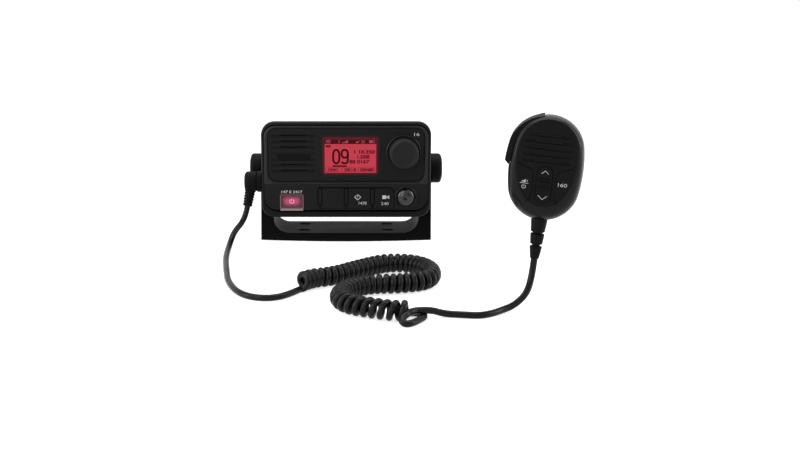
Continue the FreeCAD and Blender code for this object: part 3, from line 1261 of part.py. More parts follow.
def mic_side_key(side):
    y0 = -MIC_FRONT_D - SIDE_KEY_PROUD
    depth = SIDE_KEY_PROUD + FACE_T + 1.6
    edge = oval_prism(face_wire(SEAT_CLEAR - MOVE_CLEAR, y0), depth)
    return oval_prism(side_key_wire(side, 0, y0), depth).common(edge)


def seal_groove():
    return oval_prism(mic_wire(-4.7, -0.45), 0.9).cut(oval_prism(mic_wire(-MIC_WALL_IN - 0.1, -1), 2))


def mic_seal():
    """Thin gasket between the two shells, inside their outline."""
    band = oval_prism(mic_wire(-4.8, -0.4), 0.8).cut(oval_prism(mic_wire(-MIC_WALL_IN, -1), 2))
    return band.cut(ptt_pocket())


def mic_capsule():
    profile = [(0, 0), (6.5, 0), (6.5, 4.5), (5.5, 5.0), (0, 5.0)]
    return turned(profile, (0, -MIC_FRONT_D + 5.5, 16.0), (0, 1, 0))


def mic_board():
    board = oval_prism(mic_wire(-MIC_WALL_IN - 1.5, -1.6), 1.4)
    notch = [rod(4.4, (x, -3, z), (x, 2, z)) for x, z in mic_screw_places()]
    return board.cut(notch)


def mic_hang_stud():
    y0 = MIC_BACK_D
    profile = [(0, 0), (4.0, 0), (4.0, 3.0), (8.0, 4.2), (8.6, 5.4), (8.0, 6.4), (0, 7.0)]
    return turned(profile, (0, y0, 6.0), (0, 1, 0))


def ptt_button():
    """Long paddle that wraps the upper left shoulder, hinged at its top end."""
    x, z = ptt_pin_place()
    half = PTT_HALF_D - 0.2
    band = ptt_band(lambda y: ptt_outline(0, y), -PTT_SINK, 0)
    eye = rod(PTT_EYE_R, (x, -half, z), (x, half, z))
    slant = [(-60, PTT_FOOT - 1, 0), (-MIC_HALF_W - 0.3, PTT_FOOT - 1, 0), (-MIC_HALF_W - 0.3, PTT_FOOT, 0),
             (-60, PTT_FOOT + 60 - MIC_HALF_W, 0)]
    ribs = []
    for i in range(6):
        ribs.append(block(-60, -15, -half + 1.6, half - 1.6, 7.5 + i * 3.4, 8.9 + i * 3.4))
    skin = ptt_band(lambda y: ptt_outline(1, y), PTT_GROW - PTT_SHIFT - 1, 0)
    skin = skin.cut(oval_prism(ptt_outline(-0.5, -20), 40))
    grooves = skin.common(ribs[0].multiFuse(ribs[1:]))
    body = fuse([band, eye]).cut([grooves, prism(slant, "XZ", -20, 20)])
    return body.cut(rod(PTT_PIN_R + RUN_CLEAR, (x, -half - 1, z), (x, half + 1, z)))


def ptt_pin():
    x, z = ptt_pin_place()
    return rod(PTT_PIN_R, (x, -PTT_HALF_D - 2.3, z), (x, PTT_HALF_D + 2.3, z))


def mic_boot():
    """Strain relief in three tapered steps with deep notches between them."""
    profile = [(0, 0)]
    for i, (r0, r1, start, end) in enumerate(MIC_BOOT_STEPS):
        if i > 0:
            profile.append((MIC_BOOT_NECK, start - 0.8))
        profile += [(r0, start), (r1, end)]
        if i < len(MIC_BOOT_STEPS) - 1:
            profile.append((MIC_BOOT_NECK, end + 0.7))
    profile += [(r1 - 0.4, MIC_BOOT_L), (0, MIC_BOOT_L)]
    boot = turned(profile, (0, 0, MIC_BOOT_IN - MIC_HALF_H), (0, 0, -1))
    return boot.cut(Part.makeLoft([mic_wire(0, -MIC_HALF_H), mic_wire(0, MIC_HALF_H)], True, True))


# ---------------------------------------------------------------- cord
def bent_path(points):
    """Straight runs joined by tangent arcs, each as large as its two runs allow."""
    points = [Vector(*p) for p in points]
    edges, radii = [], []
    at = points[0]
    for i in range(1, len(points) - 1):
        here = points[i]
        back = points[i - 1] - here
        ahead = points[i + 1] - here
        run = min(back.Length, ahead.Length)
        back.normalize()
        ahead.normalize()
        inside = math.acos(max(-1.0, min(1.0, back.dot(ahead))))
        turn = math.pi - inside
        radius = 0.45 * run / math.tan(turn / 2)
        inward = back + ahead
        inward.normalize()
        start = here + back * (0.45 * run)
        end = here + ahead * (0.45 * run)
        middle = here + inward * (radius / math.sin(inside / 2) - radius)
        edges.append(Part.LineSegment(at, start).toShape())
        edges.append(Part.Arc(start, middle, end).toShape())
        radii.append(radius)
        at = end
    edges.append(Part.LineSegment(at, points[-1]).toShape())
    return Part.Wire(edges), radii


def cord_tube(name, points, radius):
    path, radii = bent_path(points)
    first = Vector(*points[1]) - Vector(*points[0])
    ring = Part.Wire(Part.makeCircle(radius, Vector(*points[0]), first))
    tube = path.makePipeShell([ring], True, False)
    ideal = math.pi * radius ** 2 * path.Length
    print(name, "length", round(path.Length, 1), "volume ratio", round(tube.Volume / ideal, 4),
          "radii", [round(r, 1) for r in radii])
    return tube


def plug_lead():
    """From just below the plug's strain relief, along its line, down and over to the coil."""
    along = Vector(*BOOT_END) - Vector(*BOOT_TOP)
    along.normalize()
    start = Vector(*BOOT_END) + along * LEAD_GAP
    straight = start + along * 13.0
    print("plug end of the lead", start, straight)
    return cord_tube("cord_plug_lead", [tuple(start), tuple(straight)] + PLUG_LEAD, CORD_R)


def mic_lead():
    """From the coil's end along the surface, then up into the microphone's strain relief."""
    foot = MIC_BOOT_IN - MIC_HALF_H - MIC_BOOT_L
    end = mic_point(0, 0, foot - LEAD_GAP)
    straight = mic_point(0, 0, foot - LEAD_GAP - 14.0)
    print("microphone end of the lead", straight, end)
    return cord_tube("cord_mic_lead", MIC_LEAD + [tuple(straight), tuple(end)], CORD_R)


def cord_coil():
    return cord_tube("cord_coil", [(x, y, COIL_R) for x, y in COIL], COIL_R)


# ---------------------------------------------------------------- all pieces
def pieces():
    out = {
        "gimbal_bracket": gimbal_bracket(),
        "friction_washers": friction_washers(),
        "rear_chassis": rear_chassis(),
        "chassis_screws": chassis_screws(),
        "gimbal_inserts": gimbal_inserts(),
        "front_gasket": front_gasket(),
        "front_bezel": front_bezel(),
        "front_panel": front_panel(),
        "divider_inserts": divider_inserts(),
        "keypad_mat": keypad_mat(),
        "lcd_window": lcd_window(),
        "lcd_module": lcd_module(),
        "speaker_driver": speaker_driver(),
        "speaker_cone": speaker_cone(),
        "main_board": main_board(),
        "channel_encoder": channel_encoder(),
        "dial_ring": dial_ring(),
        "channel_dial": channel_dial(),
        "channel_shaft": channel_shaft(),
        "channel_plunger": channel_plunger(),
        "volume_encoder": volume_encoder(),
        "volume_ring": volume_ring(),
        "volume_knob": volume_knob(),
        "volume_shaft": volume_shaft(),
        "alert_button": alert_button(),
        "button_lamp": button_lamp(),
        "guard_flap": guard_flap(),
        "guard_lip": guard_lip(),
        "guard_hinge_pin": guard_hinge_pin(),
        "mic_socket": mic_socket(),
        "elbow_plug": elbow_plug(),
        "plug_coupling_ring": plug_coupling_ring(),
        "plug_boot": plug_boot(),
        "antenna_socket": antenna_socket(),
        "power_socket": power_socket(),
        "cord_plug_lead": plug_lead(),
        "cord_coil": cord_coil(),
        "cord_mic_lead": mic_lead(),
    }
    for index in range(KEY_COUNT):
        out["soft_key_%d" % (index + 1)] = soft_key(index)
    for name, side in (("left", -1), ("right", 1)):
        out[name + "_tilt_knob"] = tilt_knob(side)
        out[name + "_tilt_stud"] = tilt_stud(side)
        out["mic_%s_key" % name] = mic_placed(mic_side_key(side))
    microphone = {
        "mic_front_shell": mic_front_shell, "mic_rear_shell": mic_rear_shell,
        "mic_face_panel": mic_face_panel, "mic_seal": mic_seal, "mic_capsule": mic_capsule,
        "mic_board": mic_board, "mic_hang_stud": mic_hang_stud,
        "mic_screws": mic_screws, "mic_boot": mic_boot, "ptt_button": ptt_button, "ptt_pin": ptt_pin,
        "rocker_key": rocker_key, "rocker_pin": rocker_pin,
    }
    for name, make in microphone.items():
        out[name] = mic_placed(make())
    return out


os.makedirs("parts", exist_ok=True)
for name, shape in pieces().items():
    shape.exportStep("parts/%s.step" % name)
    state = "valid" if shape.isValid() else "NOT VALID"
    print(name, len(shape.Solids), state, round(shape.Volume / 1000, 2), "cm3")
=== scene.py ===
import bmesh
import bpy
import json
import math
from mathutils import Matrix, Vector

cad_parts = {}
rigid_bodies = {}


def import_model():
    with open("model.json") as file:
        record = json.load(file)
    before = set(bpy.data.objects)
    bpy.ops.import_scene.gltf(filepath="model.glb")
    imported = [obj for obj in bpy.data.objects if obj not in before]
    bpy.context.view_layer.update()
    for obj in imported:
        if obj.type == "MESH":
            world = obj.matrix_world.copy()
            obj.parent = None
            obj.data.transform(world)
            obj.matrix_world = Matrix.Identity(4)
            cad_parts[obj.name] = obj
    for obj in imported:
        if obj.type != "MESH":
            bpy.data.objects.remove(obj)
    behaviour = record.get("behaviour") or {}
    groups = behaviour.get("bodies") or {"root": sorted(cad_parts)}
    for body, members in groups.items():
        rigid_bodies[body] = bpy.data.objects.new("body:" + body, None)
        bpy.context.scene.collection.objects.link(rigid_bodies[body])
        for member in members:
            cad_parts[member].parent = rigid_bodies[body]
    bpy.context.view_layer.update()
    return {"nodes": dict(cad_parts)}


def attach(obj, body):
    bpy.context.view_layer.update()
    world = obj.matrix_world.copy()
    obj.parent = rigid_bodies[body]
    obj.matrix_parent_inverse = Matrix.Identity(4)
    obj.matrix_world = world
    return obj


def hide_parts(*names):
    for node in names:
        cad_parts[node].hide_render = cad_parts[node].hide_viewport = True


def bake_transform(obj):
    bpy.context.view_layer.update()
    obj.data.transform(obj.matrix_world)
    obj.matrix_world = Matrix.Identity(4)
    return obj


# Fixed-mount marine radio on its gimbal bracket, with a hand microphone on a curly cord.
# In the same frame as the solids: X to the right of the face, Y away from the reader, Z up. Cords, camera and lamps
# are in metres. The other pieces are drawn in millimetres, and dress() brings them to metres.

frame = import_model()
NODES = frame["nodes"]
MM = 0.001

# ---------------------------------------------------------------- camera
CAMERA_AT = (0.0, -1.254, 0.322)
CAMERA_DOWN = 14.0              # degrees below level
CAMERA_LENS = 57.2
CAMERA_SHIFT = 0.0674           # frames the radio left of the middle without turning to it


def make_camera():
    """Camera in front of the object and a little above it."""
    data = bpy.data.cameras.new("camera")
    data.lens = CAMERA_LENS
    data.shift_x = CAMERA_SHIFT
    camera = bpy.data.objects.new("camera", data)
    camera.location = CAMERA_AT
    camera.rotation_euler = (math.radians(90 - CAMERA_DOWN), 0, 0)
    bpy.context.scene.collection.objects.link(camera)
    bpy.context.scene.camera = camera


make_camera()


# ---------------------------------------------------------------- tools
def add(tree, kind, inputs=None, **settings):
    """Adds a node; inputs are socket values or the sockets that feed them."""
    made = tree.nodes.new(kind)
    for key, value in settings.items():
        setattr(made, key, value)
    for key, value in (inputs or {}).items():
        if isinstance(value, bpy.types.NodeSocket):
            tree.links.new(value, made.inputs[key])
        else:
            made.inputs[key].default_value = value
    return made


def new_object(name, data):
    """Object in the scene for a mesh or a curve."""
    made = bpy.data.objects.new(name, data)
    bpy.context.scene.collection.objects.link(made)
    return made


def tidy(mesh, sharp_deg=35.0, merge=1e-6):
    """Closes seams and poles, turns faces outwards and keeps only real corners sharp."""
    work = bmesh.new()
    work.from_mesh(mesh)
    bmesh.ops.remove_doubles(work, verts=work.verts, dist=merge)
    bmesh.ops.dissolve_degenerate(work, edges=work.edges, dist=merge)
    bmesh.ops.recalc_face_normals(work, faces=work.faces)
    work.to_mesh(mesh)
    work.free()
    mesh.shade_smooth()
    mesh.set_sharp_from_angle(angle=math.radians(sharp_deg))
    return mesh


def skin(name, rings, loop=False, sharp_deg=35.0):
    """Closed mesh through rings of equal counts of points; loop joins the last ring to the first."""
    count = len(rings[0])
    verts = [tuple(point) for ring in rings for point in ring]
    faces = []
    last = len(rings) if loop else len(rings) - 1
    for i in range(last):
        a, b = i * count, ((i + 1) % len(rings)) * count
        for k in range(count):
            n = (k + 1) % count
            faces.append((a + k, a + n, b + n, b + k))
    if not loop:
        faces.append(tuple(reversed(range(count))))
        faces.append(tuple(range((len(rings) - 1) * count, len(rings) * count)))
    mesh = bpy.data.meshes.new(name)
    mesh.from_pydata(verts, [], faces)
    return tidy(mesh, sharp_deg)


def joined(name, meshes, sharp_deg=35.0):
    """One mesh out of several."""
    work = bmesh.new()
    for mesh in meshes:
        work.from_mesh(mesh)
    mesh = bpy.data.meshes.new(name)
    work.to_mesh(mesh)
    work.free()
    mesh.shade_smooth()
    mesh.set_sharp_from_angle(angle=math.radians(sharp_deg))
    return mesh


def arc(centre, radius, start_deg, end_deg, steps):
    """Points of a round stretch in a plane."""
    out = []
    for i in range(steps + 1):
        angle = math.radians(start_deg + (end_deg - start_deg) * i / steps)
        out.append((centre[0] + radius * math.cos(angle), centre[1] + radius * math.sin(angle)))
    return out


def turned(name, profile, centre, axis, sides=96, sharp_deg=35.0):
    """Turned piece: (radius, height) profile about an axis through centre."""
    along = Vector(axis).normalized()
    across = along.orthogonal().normalized()
    other = along.cross(across)
    rings = []
    for radius, height in profile:
        radius = max(radius, 1e-3)
        ring = []
        for k in range(sides):
            angle = 2 * math.pi * k / sides
            spoke = across * math.cos(angle) + other * math.sin(angle)
            ring.append(Vector(centre) + along * height + spoke * radius)
        rings.append(ring)
    return skin(name, rings, sharp_deg=sharp_deg)


def lathe_loop(profile, centre, sides):
    """Rings of a hollow turned piece on an axis towards the reader, for a skin that closes on itself."""
    rings = []
    for radius, height in profile:
        rings.append([Vector((centre[0] + radius * math.cos(2 * math.pi * k / sides), centre[1] - height,
                              centre[2] + radius * math.sin(2 * math.pi * k / sides))) for k in range(sides)])
    return rings


def soft_profile(corners, radius, steps=4):
    """Profile with its inner corners rounded off by short curves."""
    out = [corners[0]]
    for i in range(1, len(corners) - 1):
        here = Vector(corners[i])
        back, ahead = Vector(corners[i - 1]) - here, Vector(corners[i + 1]) - here
        reach = min(radius, back.length * 0.45, ahead.length * 0.45)       # short of a side's middle
        start, finish = here + back.normalized() * reach, here + ahead.normalized() * reach
        for k in range(steps + 1):
            t = k / steps
            out.append(tuple(start.lerp(here, t).lerp(here.lerp(finish, t), t)))
    out.append(corners[-1])
    return out


def rounded_ring(x0, x1, z0, z1, y, radius, foot_radius=None, steps=10):
    """Upright rounded rectangle as a ring of points."""
    foot_radius = radius if foot_radius is None else foot_radius
    corners = [(x1 - radius, z1 - radius, radius, 0), (x0 + radius, z1 - radius, radius, 90),
               (x0 + foot_radius, z0 + foot_radius, foot_radius, 180),
               (x1 - foot_radius, z0 + foot_radius, foot_radius, 270)]
    ring = []
    for cx, cz, r, start in corners:
        ring += [Vector((x, y, z)) for x, z in arc((cx, cz), r, start, start + 90, steps)]
    return ring


INK_THICK = 0.04                # of prints and dark lines, in millimetres


def flat(outline, y):
    """Thin printed shape: a closed (x, z) outline that faces the reader."""
    mesh = bpy.data.meshes.new("flat")
    work = bmesh.new()
    front = [work.verts.new((x, y - INK_THICK, z)) for x, z in outline]
    back = [work.verts.new((x, y, z)) for x, z in outline]
    work.faces.new(front)
    work.faces.new(list(reversed(back)))
    for i in range(len(outline)):
        n = (i + 1) % len(outline)
        work.faces.new((front[n], front[i], back[i], back[n]))
    bmesh.ops.recalc_face_normals(work, faces=work.faces)
    work.to_mesh(mesh)
    work.free()
    return mesh


def bar(x0, x1, z0, z1, y):
    """Thin printed rectangle."""
    return flat([(x0, z0), (x1, z0), (x1, z1), (x0, z1)], y)


def frame_lines(x0, x1, z0, z1, y, width):
    """Outline of a rectangle in thin lines."""
    return [bar(x0, x1, z0, z0 + width, y), bar(x0, x1, z1 - width, z1, y),
            bar(x0, x0 + width, z0, z1, y), bar(x1 - width, x1, z0, z1, y)]


def stroke(points, width, y):
    """Printed line of even width through (x, z) points, as one ribbon."""
    points = [Vector(point) for point in points]
    left, right = [], []
    for i, here in enumerate(points):
        before, after = points[max(i - 1, 0)], points[min(i + 1, len(points) - 1)]
        along = (after - before).normalized()
        side = Vector((-along.y, along.x)) * width / 2
        if 0 < i < len(points) - 1:
            leg = (here - before).normalized()
            side /= max(abs(leg.dot(along)), 0.4)           # mitre, held short at a sharp turn
        left.append(tuple(here + side))
        right.append(tuple(here - side))
    return flat(left + right[::-1], y)


def numerals(text, x0, x1, z0, z1, y, bold=0.0):
    """Plain numbers that fill a box."""
    relief = 0.001                              # of the raw figures, in their own units
    curve = bpy.data.curves.new("numerals", "FONT")
    curve.body = text
    curve.offset = bold
    curve.extrude = relief
    curve.resolution_u = 4
    holder = new_object("numerals", curve)
    mesh = bpy.data.meshes.new_from_object(holder)
    bpy.data.objects.remove(holder)
    xs = [vertex.co.x for vertex in mesh.vertices]
    zs = [vertex.co.y for vertex in mesh.vertices]
    for vertex in mesh.vertices:
        u = (vertex.co.x - min(xs)) / (max(xs) - min(xs))
        v = (vertex.co.y - min(zs)) / (max(zs) - min(zs))
        depth = INK_THICK / 2 * (1 + vertex.co.z / relief)
        vertex.co = (x0 + (x1 - x0) * u, y - depth, z0 + (z1 - z0) * v)
    return mesh


def body_of(node):
    """Name of the body that a node rides on."""
    return NODES[node].parent.name.split(":")[1]


def dress(name, mesh, material, node=None, body=None, place=None):
    """Finishes a mesh that was drawn in millimetres as a piece in place of a node, or as an extra on a body."""
    mesh.transform(Matrix.Scale(MM, 4) @ (place or Matrix.Identity(4)))
    piece = paint(new_object(name, mesh), material)
    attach(piece, body or body_of(node))
    if node:
        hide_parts(node)
    return piece


def evaluated(holder):
    """Mesh of an object with its modifiers applied; the object goes."""
    bpy.context.view_layer.update()
    made = bpy.data.meshes.new_from_object(holder.evaluated_get(bpy.context.evaluated_depsgraph_get()))
    bpy.data.objects.remove(holder)
    return made


def row_tree():
    """Geometry nodes that set copies of a shape in a row at an even pitch."""
    tree = bpy.data.node_groups.new("even_row", "GeometryNodeTree")
    for name, kind in (("Shape", "Geometry"), ("Count", "Int"), ("Pitch", "Vector"), ("Finish", "Material")):
        tree.interface.new_socket(name=name, in_out="INPUT", socket_type="NodeSocket" + kind)
    tree.interface.new_socket(name="Row", in_out="OUTPUT", socket_type="NodeSocketGeometry")
    given = add(tree, "NodeGroupInput")
    line = add(tree, "GeometryNodeMeshLine", {"Count": given.outputs["Count"], "Offset": given.outputs["Pitch"]},
               mode="OFFSET")
    copies = add(tree, "GeometryNodeInstanceOnPoints", {"Points": line.outputs["Mesh"],
                                                        "Instance": given.outputs["Shape"]})
    real = add(tree, "GeometryNodeRealizeInstances", {"Geometry": copies.outputs["Instances"]})
    done = add(tree, "GeometryNodeSetMaterial", {"Geometry": real.outputs["Geometry"],
                                                 "Material": given.outputs["Finish"]})
    add(tree, "NodeGroupOutput", {"Row": done.outputs["Geometry"]})
    return tree


ROW_TREE = row_tree()


def row(shape, count, pitch, material):
    """Mesh of a row of copies of a shape; pitch is the (x, y, z) step from one to the next."""
    holder = new_object("row", shape)
    copies = holder.modifiers.new("row", "NODES")
    copies.node_group = ROW_TREE
    values = {"Count": count, "Pitch": pitch, "Finish": material}
    for socket in ROW_TREE.interface.items_tree:
        if socket.name in values:
            copies[socket.identifier] = values[socket.name]
    return evaluated(holder)


def softened(node, material, bevel, smooth_deg=32.0, segments=2):
    """The node's own shape with its edges broken by a small bevel and its round faces smooth."""
    mesh = NODES[node].data.copy()
    work = bmesh.new()
    work.from_mesh(mesh)
    bmesh.ops.remove_doubles(work, verts=work.verts, dist=0.002 * MM)
    bmesh.ops.dissolve_limit(work, angle_limit=math.radians(1.0), verts=work.verts, edges=work.edges,
                             delimit={"NORMAL"})
    work.to_mesh(mesh)
    work.free()
    holder = new_object(node + "_soft", mesh)
    edge = holder.modifiers.new("edge", "BEVEL")
    edge.width = bevel * MM
    edge.segments = segments
    edge.limit_method = "ANGLE"
    edge.angle_limit = math.radians(smooth_deg)
    made = evaluated(holder)
    made.shade_smooth()
    made.set_sharp_from_angle(angle=math.radians(smooth_deg))
    holder = new_object(node + "_even", made)
    even = holder.modifiers.new("even", "WEIGHTED_NORMAL")
    even.keep_sharp = True
    made = evaluated(holder)
    piece = paint(new_object(node + "_soft", made), material)
    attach(piece, body_of(node))
    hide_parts(node)
    return piece


def egg(half_w, half_h, top_r, foot_r, up, steps=14):
    """Egg-shaped outline of six tangent arcs as (x, z) points, from the right side over the top."""
    def end(end_r):
        rise = half_h - end_r
        side_r = (half_w ** 2 + rise ** 2 - end_r ** 2) / (2 * (half_w - end_r))
        return side_r, rise, math.degrees(math.atan2(rise, side_r - half_w))

    top_side, top_rise, top_turn = end(top_r)
    foot_side, foot_rise, foot_turn = end(foot_r)
    out = arc((half_w - top_side, up), top_side, 0, top_turn, steps)[:-1]
    out += arc((0, up + top_rise), top_r, top_turn, 180 - top_turn, 2 * steps)[:-1]
    out += arc((top_side - half_w, up), top_side, 180 - top_turn, 180, steps)[:-1]
    out += arc((foot_side - half_w, up), foot_side, 180, 180 + foot_turn, steps)[:-1]
    out += arc((0, up - foot_rise), foot_r, 180 + foot_turn, 360 - foot_turn, 2 * steps)[:-1]
    out += arc((half_w - foot_side, up), foot_side, 360 - foot_turn, 360, steps)[:-1]
    return out


# ---------------------------------------------------------------- cords
CORD_R = 2.8 * MM
COIL_LEVEL = 8.75 * MM
TURN_R = COIL_LEVEL - CORD_R    # radius of the cord's centreline in a turn
TURN_PITCH = 6.05 * MM
TURN_PITCH_LOOSE = 7.7 * MM     # last turns, pulled open
LOOSE_FROM = 0.74               # share of the coil's length
RUN_IN = 9.0 * MM               # stretch over which the lead winds up into full turns
LAST_TURN_SHORT = 7.7 * MM      # the last upright turn ends this far short of the coil's own line
LAST_DROP = 4.2 * MM            # from there the cord drops to the floor
DROP_AHEAD = 0.22               # and runs ahead by this share of the drop
TURN_LEAN = 0.7 * MM            # the turns lean this far along the coil
STEPS_PER_TURN = 24

PLUG_LEAD_ROUTE = [
    (-0.09736, -0.03264, 0.03651), (-0.09976, -0.03424, 0.02383), (-0.1100, -0.0465, 0.0138),
    (-0.1132, -0.0605, 0.0046), (-0.1138, -0.0840, 0.0028), (-0.1122, -0.1120, 0.0028),
    (-0.1084, -0.1460, 0.0028), (-0.1040, -0.1800, 0.0028), (-0.0933, -0.2116, 0.0028),
    (-0.0790, -0.2270, 0.0028), (-0.0610, -0.2287, 0.0028), (-0.0478, -0.2164, 0.0028), (-0.0405, -0.2040, 0.0028),
]
COIL_ROUTE = [
    (-0.0405, -0.2040), (-0.0320, -0.1895), (-0.0120, -0.1835), (0.0130, -0.1585), (0.0370, -0.1385),
    (0.0640, -0.1430), (0.0775, -0.1670), (0.0715, -0.1960), (0.0470, -0.2060), (0.0200, -0.2070),
    (0.0000, -0.2220), (-0.0070, -0.2455), (0.0020, -0.2650), (0.0240, -0.2760), (0.0440, -0.2835),
    (0.0560, -0.2795),
]
# the pulled-out last turn: round on the floor to the right, back along the front and up over itself
COIL_TAIL = [
    (0.0545, -0.2695, 0.0030), (0.0618, -0.2700, 0.0028), (0.0638, -0.2780, 0.0028), (0.0585, -0.2868, 0.0028),
    (0.0525, -0.2953, 0.0028), (0.0475, -0.2978, 0.0028), (0.0441, -0.2960, 0.0040), (0.0448, -0.2922, 0.0061),
    (0.0484, -0.2886, 0.0080), (0.0515, -0.2830, 0.0083), (0.0560, -0.2795, 0.0080),
]
MIC_LEAD_ROUTE = [
    (0.0560, -0.2795, 0.0080), (0.0668, -0.2759, 0.0080), (0.0800, -0.2715, 0.0028), (0.0940, -0.2736, 0.0028),
    (0.1080, -0.2762, 0.0028), (0.1190, -0.2700, 0.0028), (0.1270, -0.2620, 0.0028), (0.1385, -0.2550, 0.0048),
    (0.1500, -0.2455, 0.0122), (0.15515, -0.23562, 0.02545), (0.15635, -0.23583, 0.03939),
]


def smooth_line(points, steps=24):
    """Points along the NURBS line that has these control points."""
    curve = bpy.data.curves.new("route", "CURVE")
    curve.dimensions = "3D"
    curve.resolution_u = steps
    spline = curve.splines.new("NURBS")
    spline.points.add(len(points) - 1)
    for point, place in zip(spline.points, points):
        point.co = (*place, 1.0)
    spline.order_u = 3
    spline.use_endpoint_u = True
    holder = new_object("route", curve)
    mesh = bpy.data.meshes.new_from_object(holder)
    line = [vertex.co.copy() for vertex in mesh.vertices]
    bpy.data.objects.remove(holder)
    bpy.data.curves.remove(curve)
    bpy.data.meshes.remove(mesh)
    return line


def lengths_along(line):
    """Distance along a line at each of its points."""
    out = [0.0]
    for i in range(1, len(line)):
        out.append(out[-1] + (line[i] - line[i - 1]).length)
    return out


def at_length(line, lengths, s):
    """Point and direction of a line at a distance along it."""
    s = max(0.0, min(s, lengths[-1]))
    low, high = 0, len(lengths) - 1
    while high - low > 1:
        middle = (low + high) // 2
        if lengths[middle] <= s:
            low = middle
        else:
            high = middle
    span = lengths[high] - lengths[low]
    share = (s - lengths[low]) / span if span > 0 else 0.0
    point = line[low].lerp(line[high], share)
    before, after = line[max(low - 1, 0)], line[min(high + 1, len(line) - 1)]
    start = (line[high] - before).normalized()
    finish = (after - line[low]).normalized()
    return point, start.lerp(finish, share).normalized()


def smoothstep(t):
    """Eased rise from 0 to 1."""
    t = max(0.0, min(1.0, t))
    return t * t * (3 - 2 * t)


def coiled_line(route, tail):
    """The curly cord's own line: it winds up out of the lead, turns evenly, opens, and ends in the tail."""
    line = smooth_line([(x, y, COIL_LEVEL) for x, y in route])
    lengths = lengths_along(line)
    end = lengths[-1] - LAST_TURN_SHORT
    places, turns = [0.0], [0.0]
    while places[-1] < end:
        s = places[-1]
        loose = smoothstep((s / end - LOOSE_FROM) / (1 - LOOSE_FROM))
        pitch = TURN_PITCH + (TURN_PITCH_LOOSE - TURN_PITCH) * loose
        places.append(min(s + pitch / STEPS_PER_TURN, end))
        turns.append(turns[-1] + smoothstep(s / RUN_IN) * (places[-1] - s) / pitch)
    # it starts at the foot of a turn and ends three quarters of a turn on, at the back of one
    even = (round(turns[-1] - 0.75) + 0.75) / turns[-1]
    up = Vector((0, 0, 1))
    out = []
    for s, turn in zip(places, turns):
        centre, along = at_length(line, lengths, s)
        side = along.cross(up).normalized()
        phase = 2 * math.pi * (turn * even - 0.25)
        drift = 0.6 + 0.4 * math.sin(phase * 0.137)         # a slow wave, so that no two turns lean alike
        lean = TURN_LEAN * math.sin(phase) * drift * smoothstep(s / RUN_IN)
        out.append(centre + side * (TURN_R * math.cos(phase)) + up * (TURN_R * math.sin(phase)) + along * lean)
    drop = out[-1] + (along * DROP_AHEAD - up) * LAST_DROP
    return out + smooth_line([out[-1], drop] + tail)[1:]


def tube(name, line, radius, sides=14):
    """Round tube along a line, with the least twist; UV runs round the tube and along it in metres."""
    rings, spokes = [], None
    full = 1 / math.cos(math.pi / sides)        # the flats, not the corners, lie at the radius
    lengths = lengths_along(line)
    for i, point in enumerate(line):
        ahead = line[min(i + 1, len(line) - 1)] - line[max(i - 1, 0)]
        ahead.normalize()
        if spokes is None:
            spokes = ahead.orthogonal().normalized()
        spokes = (spokes - ahead * spokes.dot(ahead)).normalized()
        other = ahead.cross(spokes)
        ring = []
        for k in range(sides):
            angle = 2 * math.pi * k / sides
            ring.append(point + (spokes * math.cos(angle) + other * math.sin(angle)) * radius * full)
        rings.append(ring)
    count = len(rings)
    verts = [tuple(point) for ring in rings for point in ring]
    faces, places = [], []
    for i in range(count - 1):
        for k in range(sides):
            n = (k + 1) % sides
            faces.append((i * sides + k, i * sides + n, (i + 1) * sides + n, (i + 1) * sides + k))
            places += [(k / sides, lengths[i]), ((k + 1) / sides, lengths[i]),
                       ((k + 1) / sides, lengths[i + 1]), (k / sides, lengths[i + 1])]
    faces.append(tuple(reversed(range(sides))))
    faces.append(tuple(range((count - 1) * sides, count * sides)))
    places += [(k / sides, 0.0) for k in range(sides)] * 2
    mesh = bpy.data.meshes.new(name)
    mesh.from_pydata(verts, [], faces)
    layer = mesh.uv_layers.new(name="along_cord")
    for slot, place in zip(layer.data, places):
        slot.uv = place
    work = bmesh.new()
    work.from_mesh(mesh)
    bmesh.ops.recalc_face_normals(work, faces=work.faces)
    work.to_mesh(mesh)
    work.free()
    mesh.shade_smooth()
    mesh.set_sharp_from_angle(angle=math.radians(50))       # only the rims of the cut ends stay sharp
    return new_object(name, mesh)


# ---------------------------------------------------------------- sizes of the radio's front, in millimetres
BEZEL_HALF_W, BEZEL_FOOT, BEZEL_HEAD, BEZEL_CORNER = 82.5, 27.4, 121.9, 13.0
BEZEL_FRONT, BEZEL_BACK, BEZEL_EDGE = -42.4, -35.0, 2.4
PANEL_HALF_W, PANEL_FOOT, PANEL_HEAD = 79.7, 35.6, 118.4
PANEL_CORNER, PANEL_FOOT_CORNER = 11.0, 13.0
PANEL_GAP, PANEL_BACK, PANEL_FRONT, FIELD_FRONT, KEY_FRONT = 0.4, -37.6, -42.6, -41.8, -44.4
PANEL_LAND = 13.0               # width of the surround's ledge behind the panel
FIELD_HALF_W, FIELD_FOOT, FIELD_HEAD, FIELD_CORNER = 76.3, 63.4, 116.4, 9.0
SHADOW_GAP, SHADOW_FOOT = 0.9, 2.3          # width of the groove round the panel, and along its foot; a black strip in it is painted shade
DIAL_AT, DIAL_R, DIAL_PROUD = (55.8, 92.4), 14.7, 12.0
VOLUME_AT, VOLUME_R, VOLUME_PROUD = (58.2, 48.5), 8.5, 7.1
PILL_FIRST, PILL_PITCH = -25.5, 25.55       # the upright pills between the soft keys
PILL_HEAD, PILL_FOOT, PILL_R = 55.45, 42.05, 1.85
KEY_LEFT, KEY_END, KEY_TOP, KEY_FOOT = -25.5, 47.2, 57.6, 36.5
GRILLE_X, GRILLE_TOP, GRILLE_PITCH = -50.9, 108.3, 5.75
GUARD_FACE = -44.7
BUTTON_AT = (-53.0, 44.3)
SCREEN = (-20.8, 29.2, 72.1, 105.8)         # left, right, bottom, top
SCREEN_MIDDLE = (4.2, 88.95)
